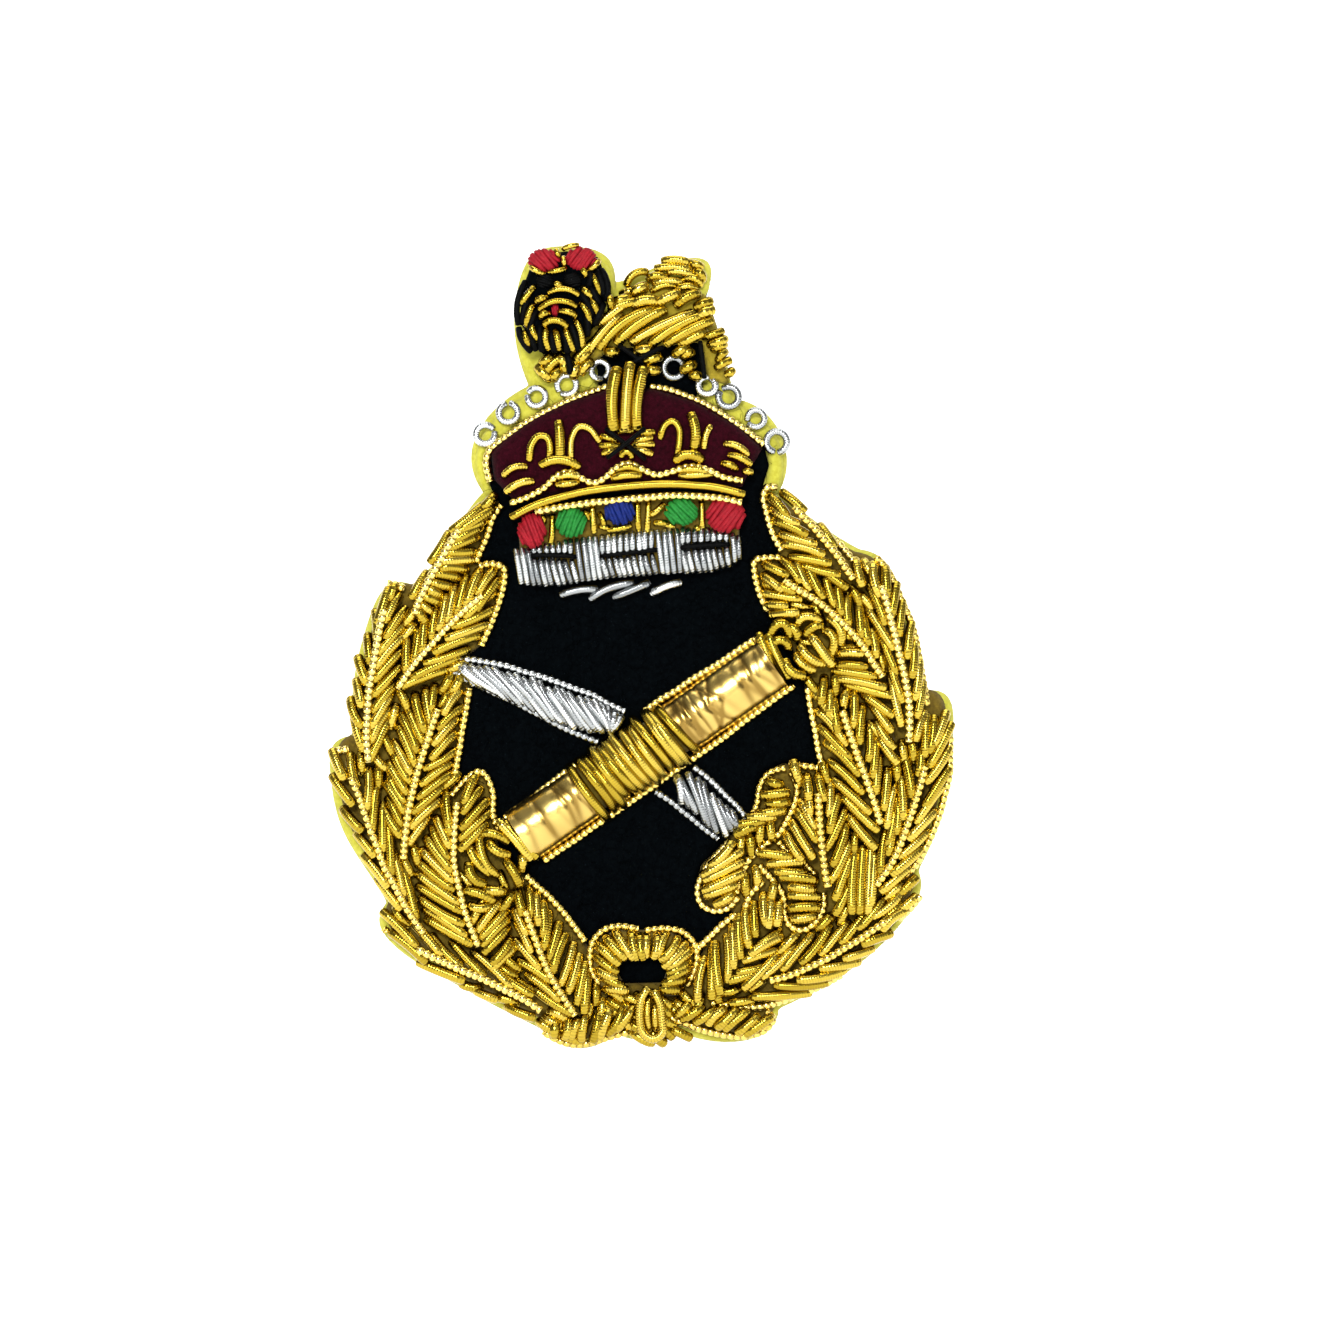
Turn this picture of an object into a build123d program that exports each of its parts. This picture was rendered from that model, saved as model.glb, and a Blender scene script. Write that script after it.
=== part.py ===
"""Embroidered bullion cap badge: a lion on a crown over crossed sword and baton, in a laurel wreath.

Flat coordinates (u, v) are seen from the front: u to the wearer's left, v up, millimetres from the
badge's middle. Height h is measured from the flat back, towards the viewer. The model stands upright,
so u is +X, v is +Z and h is -Y.
"""
from build123d import *
import math
import os

os.makedirs("parts", exist_ok=True)

# ---------------------------------------------------------------- layers, heights above the flat back
LINING_TOP = 0.4
STIFFENER_TOP = 1.2
EDGE_FELT_TOP = 2.0
GROUND_TOP = 2.6
FAN_PAD_TOP = 3.1
TAIL_PAD_TOP = 3.1
LION_BODY_TOP = 3.2
PAD_TOP = 3.5
CROWN_CAP_TOP = 4.1
LION_HEAD_TOP = 4.4
LINING_SCALE = 0.975     # each layer's outline, as a share of the badge's outline
STIFFENER_SCALE = 0.985
FELT_BASE_SCALE = 0.975

# ---------------------------------------------------------------- wire sizes (radius of the coil)
PURL_R = 0.43            # smooth purl, cut to short lengths and sewn down like beads
SWORD_PURL_R = 0.4
LION_PURL_R = 0.4
FACE_PURL_R = 0.34
FINE_PURL_R = 0.33       # finer smooth purl on the crown and the lion
MANE_PURL_R = 0.3
SILVER_R = 0.27          # silver purl of the ermine band
PEARL_R = 0.35           # pearl purl, couched along edges and ribs
THREAD_R = 0.24          # black floss
MANE_THREAD_R = 0.26
ARCH_R = 0.6             # the three thick tubes up the middle of the crown
CROSS_R = 0.36
CROSS_THREAD_R = 0.22

# ---------------------------------------------------------------- how the wires are laid
PURL_PITCH = 0.86        # spacing of neighbouring purls, across their length
BLADE_PITCH = 0.78
SILVER_PITCH = 0.58
PURL_LIFT = 0.22         # how far the middle of a purl stands above its ends
FLAT_LIFT = 0.1
HIGH_LIFT = 0.32
SHORT_LIFT = 0.2         # most that a short purl may rise, as a share of its length
LEAST_TURN = 1.0         # degrees; a couched wire runs straight through a smaller turn
BEND_SHARE = 0.45        # how much of each straight run a couched wire's bends may use
FAN_STATIONS = 24        # places along a fan where its width is measured
BLADE_LEAN = 0.24        # how far the sword's purls slant, as a share of the blade's length
RIB_RAISE = 0.25         # a leaf's rib lies on the ends of its purls
BOW_RIM_RAISE = 0.2
MANE_SINK = 0.1          # how far small wires and pads sink into the felt under them

# ---------------------------------------------------------------- pads, jewels, baton
FAN_PAD_WIDTH = 0.6      # share of a fan's width that its felt fills
FAN_PAD_STATIONS = 5     # straight sides along a fan's felt
TAIL_PAD_INSET = 0.3     # how far a pillow's top is drawn in towards its middle
HEAD_PAD_INSET = 0.3
CAP_INSET = 0.16
JEWEL_HEIGHT = 1.5
DOME_ROUNDING = 0.7      # share of a thread pad's height that is rounded
EYE_SINK = 0.2
EYE_HEIGHT = 0.7
HEAD_CAP_SINK = 0.6
HEAD_CAP_HEIGHT = 1.2
PLATE_THICKNESS = 0.12   # gilt strip wrapped over the baton
BATON_HALF_WIDTH = 2.7
BATON_RISE = 2.25        # how far the baton stands above the ground cloth
BATON_AXIS = ((-11.7, -18.25), (12.5, -1.55))
BATON_SLEEVE = (0.27, 0.62)   # where the purl sleeve begins and ends along the axis
SLEEVE_HALF = 2.9        # half the length of a purl of the sleeve, seen from above
SLEEVE_SLANT = 0.005     # how far such a purl leans, as a share of the baton's length
BATON_END_RAISE = 0.3
PEARL_LOOP_R = 0.9       # centre line of each silver loop
PEARL_LOOP_CHANGE = 0.1  # how far the loops differ in size
PEARL_LOOP_START = 40    # degrees; where the first loop's ends meet
PEARL_LOOP_STEP = 67
PEARL_LOOP_TURN = 331    # degrees of a loop that are wire

# ---------------------------------------------------------------- filling the wreath
WREATH_MIDDLE = -8       # height of the wreath's middle
BORDER_SCALE = 0.988     # purls on the outside end on this share of the badge's outline
BORDER_STATIONS = 8      # straight sides per stretch of that border
BORDER_REACH = 1.0       # how much longer a purl may be made to get there
FILL_STEP = 0.5          # grid on which bare places are looked for
FILL_REACH = 31          # half the grid's size
FILL_TOP = 14            # the wreath ends here
FILL_GAP = 0.62          # a place this far from every wire's middle line is bare
FILL_LENGTH = 2.0

# ---------------------------------------------------------------- outlines
OUTLINE = [
    [(-2.6, 35.3), (0, 36.2), (4, 37.6), (6.4, 37.2), (6.6, 35.5), (5.9, 34.5)],
    [(5.9, 34.5), (7.2, 31), (8, 28.5), (8.6, 25.5), (9.2, 24)],
    [(9.2, 24), (12.2, 22.4), (13.8, 19.5), (13.3, 15.2)],
    [(13.3, 15.2), (17, 12), (21, 9.5)],
    [(21, 9.5), (23.2, 8.6), (25.2, 5), (26.8, -0.5), (27.6, -4.1)],
    [(27.6, -4.1), (29.3, -4.5), (30, -9), (29.3, -15), (26.7, -21.5)],
    [(26.7, -21.5), (26.9, -23.5), (25.7, -25.8), (18.7, -32.1), (13.2, -34.9)],
    [(13.2, -34.9), (12.4, -36.8), (9.9, -38), (4, -37.3)],
    [(4, -37.3), (1.2, -38), (-2.5, -37.4)],
    [(-2.5, -37.4), (-6.7, -38.7), (-9.9, -36.8)],
    [(-9.9, -36.8), (-14.5, -34.5), (-19.4, -31.8), (-24, -28.8), (-25.4, -26.8), (-24.7, -24.6)],
    [(-24.7, -24.6), (-27, -21), (-28.8, -18), (-30.2, -12), (-30, -9.6), (-28.1, -8.5)],
    [(-28.1, -8.5), (-28, -4), (-26.7, 2), (-24, 6.3), (-22.3, 6.1)],
    [(-22.3, 6.1), (-21, 7.2), (-17.5, 12.3), (-15.4, 15)],
    [(-15.4, 15), (-16.2, 20.2), (-14, 23.3), (-11, 25.3)],
    [(-11, 25.3), (-12.4, 31), (-12.2, 34), (-10.3, 38.2), (-7, 38.8), (-3.7, 38), (-2.6, 35.3)],
]
FIELD = [                # the black cloth that shows inside the wreath and lies under the crown
    (-15, 17.6), (-14.9, 18.9), (-13.6, 20), (-11.6, 21.3), (-9.4, 22.7), (-6.6, 24), (-4.2, 25),
    (-4.4, 27.6), (-3, 29.4), (1.8, 29.6), (5.7, 29.8), (6, 25.8), (5, 24), (7.2, 22.8), (9.3, 21.4),
    (11.7, 19.6), (12.2, 17.6), (11.6, 15.6), (11.4, 14.4), (11.9, 12.7), (12.5, 11), (13.2, 9.2),
    (11.9, 8.8), (10.5, 8.5), (10.7, 6.8), (11.3, 4.9), (12, 3.4), (14.4, 0), (15.7, -3.9), (16.1, -6),
    (16.6, -8.6), (17, -11.2), (15.2, -11.5), (13.6, -11.1), (11.8, -11.9), (10.9, -13.6), (10.7, -15.6),
    (9.2, -17.4), (7.4, -19.2), (5.6, -21), (5.2, -23.4), (6.3, -25.2), (8.2, -25.3), (9, -25.8),
    (7.3, -26.9), (6.2, -28.2), (4.6, -32.2), (-4.4, -32.4), (-5.4, -28.3), (-6.5, -26.9), (-7.9, -25.1),
    (-9.6, -23.4), (-11.1, -22), (-13.8, -19.6), (-14.2, -16), (-14.2, -14), (-14.6, -12.6),
    (-15.6, -11.8), (-16.6, -12.3), (-18, -13), (-17.5, -9.6), (-17, -6.6), (-16.6, -3.9), (-17, -1),
    (-15.5, 0.2), (-14.4, 2.2), (-13.7, 4.2), (-13.2, 6.2), (-13, 7.8), (-14.5, 8.3), (-16.1, 8.2),
    (-15.1, 10.4), (-14.4, 12.5), (-13.7, 13.8), (-14.6, 15.4),
]

# ---------------------------------------------------------------- wreath
# Each leaf has fans of purls. A fan runs from a line beside the rib (first) out to a line along the
# leaf's edge (second); both start at the tip.
LEAVES = {
    "left_leaf_1": [
        ([(-17.3, 11.5), (-19.4, 8), (-21.4, 3.6)],
         [(-14.6, 13.4), (-15.6, 11), (-16.5, 8.2), (-18.6, 5.6), (-20.6, 2.4)]),
        ([(-18.2, 11), (-20.2, 7.8), (-22, 4.8)], [(-15.6, 13.6), (-18, 11.6), (-20.6, 7.4)]),
    ],
    "left_leaf_2": [
        ([(-16, 5), (-18.2, 2.9), (-20.6, 0.3), (-22.6, -2.3)],
         [(-14.2, 7.4), (-16.4, 7), (-18.6, 5.2), (-20.8, 2.6), (-22.6, 0.7)]),
        ([(-15.8, 3.8), (-18, 1.8), (-20.6, -1), (-22.8, -3.8)],
         [(-13.9, 6.7), (-14.4, 4.4), (-15.4, 1.8), (-16.6, 0), (-18.8, -2.2)]),
    ],
    "left_leaf_3": [
        ([(-25.2, 2.6), (-26, -0.9), (-26.7, -4.9), (-26.8, -9.8)],
         [(-24.6, 5.2), (-26.2, 2.6), (-27.2, -0.8), (-27.6, -4.4), (-27.5, -7.6)]),
        ([(-24.6, 2.6), (-25.2, -1), (-25.8, -5), (-25.9, -10.6)],
         [(-23.2, 5), (-22.7, 3.4), (-23, 0.6), (-23.5, -2.6), (-24.3, -4.8), (-24.5, -7.2)]),
    ],
    "left_leaf_4": [
        ([(-20.2, -6.3), (-21.3, -9.4), (-22.4, -13.4), (-23.2, -17.9)],
         [(-20, -3.7), (-22, -4.8), (-23.3, -7.2), (-24.1, -10), (-24.6, -13), (-24.8, -15.6)]),
        ([(-19.1, -6.6), (-20.2, -9.6), (-21.4, -13.6), (-22.2, -18.6)],
         [(-17.5, -4.3), (-17.9, -7), (-18.4, -10), (-19.1, -13.4), (-20.4, -16)]),
    ],
    "left_leaf_5": [
        ([(-28.7, -12.5), (-27.6, -15.4), (-26.1, -19.2), (-24.6, -22.6), (-23.2, -25.2)],
         [(-29.5, -10.4), (-29.4, -12.8), (-28.5, -16), (-27.1, -19.4), (-25.4, -22.4)]),
        ([(-27.2, -13.4), (-26.2, -16.2), (-25, -19.4), (-23.6, -22.6), (-21.8, -25.6)],
         [(-28.2, -10.4), (-26.4, -11.6), (-25.6, -13.4), (-24.8, -15.8), (-24.1, -18.4),
          (-23.3, -20.8)]),
    ],
    "left_leaf_6": [
        ([(-17.2, -14.8), (-17.4, -17.2), (-17.2, -19.4)], [(-15.9, -12.5), (-15.1, -14.6), (-15, -17)]),
        ([(-16.2, -26.2), (-15.3, -28.6), (-14.2, -30.8)],
         [(-14.6, -24), (-13.5, -24.6), (-12.9, -27), (-12.5, -28.9)]),
        ([(-18.4, -17), (-18.6, -20), (-18.2, -23), (-17.3, -26), (-16.4, -28.6)],
         [(-18.9, -14.2), (-20.2, -17), (-21.4, -20.2), (-21.6, -23), (-20.6, -26.2)]),
    ],
    "left_leaf_7": [
        ([(-20.8, -30.2), (-17.8, -31.9), (-14, -33.6), (-10.4, -35.4)],
         [(-24.4, -27.6), (-21.8, -30.2), (-17.8, -32.6), (-13.6, -34.6)]),
        ([(-21.6, -28.5), (-18.5, -30.1), (-14.5, -31.9), (-10.6, -33.7)],
         [(-24, -26.2), (-21.4, -27), (-19.2, -28), (-17.2, -28.9), (-14.7, -30.5)]),
    ],
    "left_leaf_8": [
        ([(-10.5, -25.6), (-9.6, -28), (-8.5, -31), (-7.2, -33.2), (-5.8, -35)],
         [(-11, -23), (-9.3, -24.8), (-7.8, -26.9), (-6.4, -29), (-5.3, -31.6)]),
        ([(-11.6, -25.6), (-10.9, -28.2), (-9.8, -31), (-8.4, -33.2), (-7, -35.2)],
         [(-12.2, -23.4), (-12.4, -26), (-11.9, -28.8), (-11.6, -30.4), (-10.4, -32.9)]),
    ],
    "right_leaf_1": [
        ([(14, 12.7), (16.2, 10.4), (18, 8.3), (19.6, 5.8)],
         [(12.2, 14.5), (12.9, 12.3), (13.6, 10.3), (14.2, 9), (16.6, 7.9)]),
        ([(15.6, 13), (17.9, 10.4), (19.6, 8.4), (21.2, 6)],
         [(13.2, 14.9), (15.4, 13.2), (18.2, 10.6), (20.4, 8.4)]),
    ],
    "right_leaf_2": [
        ([(14, 6.9), (16.4, 5.4), (18.6, 3.7), (20.7, 1.5), (22.4, -0.8)],
         [(12, 8), (14.4, 8.2), (16.6, 7.5), (18.6, 6.2), (20.4, 4.4), (22, 1.8)]),
        ([(13.6, 5.7), (15.2, 4.6)], [(11.6, 6.9), (11.9, 5.2)]),
        ([(14, 3.9), (14.8, 3.2)], [(12.2, 4.3), (12.4, 3.2)]),
        ([(21, -0.6), (22.4, -2.7), (24, -4.8)], [(18.8, -0.8), (18.8, -2.2), (19.4, -3.4)]),
    ],
    "right_leaf_3": [
        ([(23.5, 5), (24.5, 1.8), (25.6, -1.6), (26.2, -5.4), (26.4, -8.8)],
         [(23.6, 7.8), (24.9, 4.6), (25.8, 1.6), (26.5, -1.8), (27.3, -6.2)]),
        ([(22.6, 5), (23.3, 2.6), (24.1, -0.2), (24.8, -3.4), (25.1, -7.6)],
         [(22.3, 7.8), (21.6, 6.2), (21.7, 3.8), (22.9, 1), (23.8, -2.2)]),
        ([(24, -6.6), (24.3, -8.6), (24.3, -11)], [(21.2, -4.6), (22.4, -6.3), (22.8, -8.6)]),
    ],
    "right_leaf_4": [
        ([(20.2, -7.6), (21.4, -10.6), (22.4, -13.5), (23.3, -16.7), (23.6, -19)],
         [(20.4, -4.4), (21.8, -6.8), (22.8, -9.6), (23.8, -12), (24.6, -14.8)]),
        ([(18.8, -7.6), (19.9, -10.4), (21, -13.6), (22, -16.6), (22.4, -19.2)],
         [(16.6, -4.2), (17, -6.2), (17.6, -8.8), (18.2, -11.2), (18.8, -13.4), (19.8, -15.8)]),
        ([(17.2, -5.2), (19, -8.1)], [(17.4, -2.7), (18.4, -5)]),
    ],
    "right_leaf_5": [
        ([(27.9, -9.4), (27.4, -12.4), (26.8, -15), (25.8, -18), (24.6, -20.8), (23, -23.4)],
         [(28.9, -6.2), (29.4, -9), (29, -12), (28.2, -15.4), (26.9, -18.8), (25.6, -21.2)]),
        ([(26.4, -12.4), (25.8, -14.5), (24.9, -17), (23.8, -19.6), (22.7, -21.6)],
         [(26.9, -9.6), (25.7, -10.2), (25.1, -12), (24.6, -14.8), (23.4, -17.4)]),
        ([(27.1, -10.4), (27.7, -9.8)], [(27.2, -6.6), (27.9, -6.6)]),
    ],
    "right_leaf_6": [
        ([(16.3, -14.6), (16.4, -17.8), (16.4, -20.2), (15.2, -20.4)],
         [(15.8, -12.4), (15.1, -15.4), (14.3, -16.7), (13.7, -17.9)]),
        ([(17.5, -14.6), (17.9, -17.6), (18.1, -20), (18.3, -23), (18.7, -25.6)],
         [(16.9, -12.2), (18.6, -13.6), (19.5, -16), (19.8, -18.6), (20.6, -21.4)]),
        ([(20.2, -25.4), (21.2, -25.6), (22, -24.6)], [(20.7, -19.6), (21.6, -18.9), (22.6, -19.6)]),
    ],
    "right_leaf_7": [
        ([(23, -27.2), (20.4, -29.2), (17.4, -31), (14.4, -32.2), (10.6, -33.4)],
         [(26.3, -24.8), (24.8, -27.4), (22, -29.8), (19, -31.6), (16, -33.1)]),
        ([(22.4, -25.8), (19.7, -27.8), (16.7, -29.6), (13.4, -31), (9.8, -32.6)],
         [(25, -23.8), (22.4, -24.6), (20, -26.2), (17.6, -27), (15.2, -28.4), (13, -29.6)]),
    ],
    "right_leaf_8": [
        ([(11.6, -26.6), (10.2, -28.8), (8.4, -31.4), (6.8, -33.4), (5.2, -33.9)],
         [(11.6, -23.8), (9.8, -25.4), (8.4, -27.1), (7, -28.6), (6, -30)]),
        ([(11, -28.9), (9.9, -30.4), (8.6, -32)], [(13, -27), (13.3, -28.6), (12.2, -31)]),
        ([(12, -26.6), (12.9, -26.7)], [(12.4, -24.2), (13, -24.6)]),
    ],
}
LEFT_RIBS = [
    [(-17.6, 11.3), (-18.8, 9.5), (-20.4, 6.7), (-21.5, 4.4), (-21.8, 3.2)],
    [(-15.4, 5), (-17, 3.7), (-18.5, 2.2), (-20.5, 0.1), (-22, -1.7), (-23.5, -3.9)],
    [(-24.8, 3.6), (-25.3, 1), (-25.9, -2), (-26.4, -5.2), (-26.5, -8.5), (-26.3, -11)],
    [(-19.6, -5.9), (-20.8, -9.4), (-22, -13.5), (-22.7, -17), (-22.9, -20.4)],
    [(-28, -12.4), (-27, -14.8), (-26.1, -17.4), (-25.2, -20), (-23.9, -22.7), (-22.3, -25.6),
     (-20.9, -27.4)],
    [(-17.8, -14.8), (-18.1, -18), (-18, -21), (-17.4, -24), (-16.6, -26.4), (-15.7, -28.7)],
    [(-21.6, -28.9), (-18.4, -30.5), (-15, -31.9), (-12.2, -33.3), (-9.7, -34.8)],
    [(-11.2, -25.3), (-10.3, -28.1), (-9, -31.1), (-7.6, -33.5), (-6.4, -35.2)],
]
RIGHT_RIBS = [
    [(14.5, 13.5), (16, 12), (17.4, 10.4), (18.9, 8.6), (20.3, 6.5)],
    [(13.6, 6.5), (15.2, 5.4), (16.9, 4.4), (18.4, 3.2), (20.3, 1.2), (21.7, -0.7), (23, -2.8)],
    [(22.9, 6), (23.6, 3.9), (24.1, 1.6), (24.7, -0.8), (25.3, -3.2), (25.7, -6), (25.6, -9)],
    [(19.2, -6), (20.5, -9.8), (21.5, -12.6), (22.3, -15), (22.9, -17)],
    [(27.1, -11.4), (26.5, -14), (25.6, -16.6), (24.7, -19), (23.7, -21.1), (22.4, -22.8)],
    [(16.9, -14), (17, -16.6), (17.3, -20), (17.8, -23)],
    [(23.5, -26.2), (20.2, -28.4), (17, -30.3), (14.6, -31.3), (12.2, -32)],
]
LEFT_EDGES = [
    [(-13.6, 13.7), (-14.3, 12.6), (-15, 10.4), (-16.1, 8.2)],
    [(-15.7, 7.9), (-14.5, 8.2), (-13.1, 7.8), (-13.3, 6.2), (-13.8, 4.2), (-14.5, 2.2),
     (-15.5, 0.2)],
    [(-24.5, 6.1), (-23.6, 6.1), (-22.9, 5.6)],
    [(-16.7, -3.9), (-17.1, -6.6), (-17.6, -9.6), (-18.1, -12.4)],
    [(-29.7, -10.3), (-29.2, -9.8), (-28.2, -9.8)],
    [(-18.3, -14.2), (-17.5, -13.2), (-16.6, -12.3), (-15.6, -11.8), (-14.7, -12.6), (-14.3, -14),
     (-14.4, -16), (-13.9, -17.6)],
    [(-24.6, -27.4), (-25, -26.8), (-24.2, -26.6)],
    [(-11.2, -21.9), (-9.7, -23.3), (-8, -25), (-6.6, -26.8), (-5.5, -28.2)],
]
RIGHT_EDGES = [
    [(13, 15.5), (11.9, 15.6), (11.5, 14.4), (12, 12.7), (12.6, 11), (13.4, 9.4)],
    [(13.3, 8.6), (11.9, 8.7), (10.6, 8.5), (10.8, 6.8), (11.4, 4.9), (12.1, 3.5)],
    [(18.6, 10.5), (19.8, 9), (20.7, 7.7)],
    [(22.5, 8.7), (23.6, 7.6), (24.6, 5.4), (25.6, 3.2), (26.4, 0.5), (27, -3), (27.4, -5.6)],
    [(15.8, -3.9), (16.2, -6), (16.7, -8.6), (17.2, -11.1)],
    [(29.6, -8.6), (29.6, -12), (28.9, -15.2), (27.7, -18.6), (26.4, -20.8), (25, -22.2)],
    [(14.1, -11.1), (15.4, -11.4), (16.9, -11.6)],
    [(26.8, -23.8), (26, -25), (24.6, -26.2)],
    [(19.2, -31.5), (17.6, -32.3), (15.4, -33.3), (13, -34.2), (10, -34.8), (6.6, -34.2)],
    [(11.7, -22.5), (10.4, -23.6), (9.9, -25)],
    [(9.1, -25.7), (7.4, -26.8), (6.4, -28), (5.4, -28.9)],
]

# ---------------------------------------------------------------- ribbon bow
BOW_OUTLINE = [(-3.8, -33.4), (-4.8, -31), (-4.8, -28.4), (-2.6, -27.2), (2.6, -27.2), (4.9, -28.8),
               (4.8, -31.4), (3.6, -33.6)]
BOW_HOLE = [(-1.4, -33), (-2.3, -31.4), (-2.2, -29.9), (0, -29.7), (2.1, -29.9), (2.3, -31.4), (1.6, -33)]
BOW_FANS = [
    ([(-1.5, -32.9), (-2.4, -31.9), (-2.5, -30.6), (-2.1, -29.9), (-1.2, -29.7)],
     [(-3.4, -32.7), (-4.2, -31.2), (-4.4, -29.7), (-3.9, -28.1), (-2.7, -27.4)]),
    ([(-0.4, -29.7), (0.6, -29.6), (1.6, -29.8), (2.3, -30.4), (2.5, -31.4), (2.1, -32.7)],
     [(-1.2, -27.5), (0.8, -27.7), (2.8, -27.8), (4.2, -28.9), (4.5, -30.8), (3.7, -32.8)]),
]
BOW_TAILS = [[(-0.8, -34.6), (-8.6, -36.2), (-8.4, -37.4), (-5, -37.6), (-2, -36.6)],
             [(2.8, -35.2), (7, -34.7), (12, -35.4), (10.4, -36.9), (6, -36.4)]]
TAIL_FANS = [
    ([(-2.4, -36.6), (-5.2, -37.6), (-8.4, -37.3)], [(-1, -34.8), (-4.6, -35.4), (-8.2, -36.3)]),
    ([(3.2, -35.4), (6.4, -36.4), (10.2, -37)], [(4.6, -34.5), (8.6, -34.9), (12.2, -35.5)]),
]
KNOT_LOOP = [(0.4, -32.7), (-0.2, -33.7), (-0.3, -35.6), (0, -37), (1.1, -37.7), (2.1, -37),
             (1.9, -35.6), (1.8, -34.1), (1.2, -33)]
KNOT_PURLS = [((0.7, -33.7), (0.5, -35.2), (0.7, -36.8)), ((1.25, -34.4), (1.2, -35.5), (1.35, -36.7))]
BOW_EDGES = [
    [(-4.1, -32.4), (-4.9, -31.2), (-5.1, -29.6), (-4.8, -28.1), (-3.8, -27.1), (-2.2, -26.7),
     (-0.4, -27.1)],
    [(0.3, -27.2), (2.2, -27), (3.9, -27.3), (4.9, -28.2), (5.3, -29.6), (5.1, -31.2), (4.3, -32.6)],
    [(-1.4, -37), (-3.2, -37.5), (-5, -38.1), (-6.8, -38.3), (-8.2, -37.8), (-9.5, -37)],
    [(2.6, -35.6), (5, -36.5), (7.4, -37.2), (9.8, -37.5), (11.8, -37), (12.8, -35.7),
     (12, -35)],
]

# ---------------------------------------------------------------- crown
CROWN_CAP = [(-12.2, 14), (-14.3, 16.2), (-14.6, 18.9), (-12.4, 20.8), (-10, 22.4), (-7, 23.8), (-3.4, 24.9),
             (0.9, 25), (5, 23.8), (9.2, 21.4), (11.6, 19.2), (10.4, 17.2), (9.6, 15.4), (4.4, 15.9),
             (-1, 15.5), (-7, 14.8)]
ARCH_EDGES = [
    [(-14.6, 16), (-15, 17.6), (-14.9, 18.9), (-13.6, 20), (-11.6, 21.3), (-9.4, 22.7), (-6.6, 24),
     (-3.4, 25.1)],
    [(0.7, 25.2), (2.9, 24.8), (5, 24), (7.2, 22.8), (9.3, 21.4), (11.7, 19.6)],
    [(-12.7, 13.7), (-11, 14.4), (-9.4, 15.2), (-8.4, 16.4), (-7, 17), (-5.8, 16.2), (-4.8, 15.7),
     (-3.6, 16.2), (-2.6, 17.2), (-1.2, 17.8), (0, 17.1), (1.3, 16.4), (2.8, 16.8), (4.6, 17.5),
     (6.4, 17.1), (7.6, 16.3), (9.6, 16)],
    [(-10.2, 13), (-8, 13.4), (-5, 13.8), (-1.4, 14.3), (2.6, 14.6), (6, 14.5), (9.5, 13.9)],
]
RIM_WIRE = [(-12.5, 12.5), (-10, 13.8), (-6, 14.9), (-1.2, 15.5), (2.8, 15.7), (7, 15.4), (9.7, 14.7)]
ARCH_TUBES = [((-2.75, 21), (-2.9, 24), (-2.4, 26.6)), ((-1.6, 21), (-1.5, 24), (-1.2, 27.1)),
              ((-0.5, 21.1), (-0.45, 24), (0.1, 26.6))]
CROSS_PURLS = [((-3.8, 20.2), (-2.6, 19.8)), ((-3.9, 19.4), (-2.3, 19.4)), ((-3.8, 18.6), (-2.6, 19)),
               ((-0.6, 19.8), (0.9, 20.2)), ((-0.9, 19.4), (1, 19.4)), ((-0.6, 19), (0.9, 18.6)),
               ((-2.3, 20.8), (-1, 20.8)), ((-2, 18.3), (-1.5, 18.7), (-1, 18.3)),
               ((-0.2, 20.6), (1.1, 20.7))]
CROSS_THREADS = [((-3.3, 21.1), (-1.5, 19.5), (0.2, 18)), ((0.1, 21), (-1.6, 19.3), (-3.2, 17.9))]
LION_THREADS = [((-2.2, 28.9), (-1.1, 28.1), (0.1, 27.1)), ((2, 28.7), (0, 27.7), (-2, 26.6)),
                ((5.4, 29.2), (5.7, 27.5), (5.9, 25.8))]
FLEUR_WIRES = [
    [(-10.8, 18), (-10.7, 19.4), (-10, 20.4), (-9, 20.2), (-8.8, 19.2), (-8.9, 18.2)],
    [(-6.9, 18), (-6.9, 20), (-6.2, 21.3), (-5, 21), (-4.2, 19.8)],
    [(1.8, 20.1), (2.1, 21.3), (3, 21.9), (3.7, 21), (3.6, 19.6), (3.4, 18.5)],
    [(5.9, 19.2), (6.1, 20.6), (6.8, 21.5), (7.3, 20.8), (7.8, 19.7)],
]
FLEUR_PURLS = [((-8, 21.5), (-7.9, 19.8), (-7.9, 18.2)), ((4.7, 22.3), (5.1, 20.7), (4.9, 19.2)),
               ((-9.6, 17.5), (-8.2, 18), (-6.2, 17.4)), ((3.2, 18), (4.3, 18.5), (5.6, 18))]
SIDE_PURLS = [((8, 19.5), (9.2, 19.3), (10, 18.6)), ((8.4, 18.5), (9.4, 18.2), (10.3, 17.6)),
              ((7.7, 17.7), (8.4, 17.5), (9, 17.2)), ((9.8, 16.9), (10.4, 16.8)),
              ((-13.2, 16.5), (-12.2, 17.3), (-11.2, 17.4)), ((-13, 14.9), (-12, 15.6), (-10.6, 15.9)),
              ((-8.2, 15.6), (-7.2, 15.7), (-6.2, 15.8)), ((-2.8, 16.2), (-1.6, 16.5), (-0.3, 16.5)),
              ((3.7, 16.5), (5, 16.5), (6.6, 16.6)), ((-8, 16.3), (-7, 16.5), (-6.1, 16.3)),
              ((-2.4, 17), (-1.2, 17.3), (-0.1, 16.9)), ((3.6, 17), (4.8, 17.1), (6.2, 16.9))]
PEARLS = [(-15.1, 20.5), (-12.9, 22.6), (-10.2, 24.1), (-7.3, 25.3), (-4.1, 26.7), (3, 26.9), (6.2, 25.2),
          (8.3, 24.1), (10.9, 22), (12.9, 19.8)]
CIRCLET_TOP = [(-12, 12), (-9, 13.3), (-4, 14.4), (1, 15), (6, 15), (9.4, 14.4)]
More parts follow.
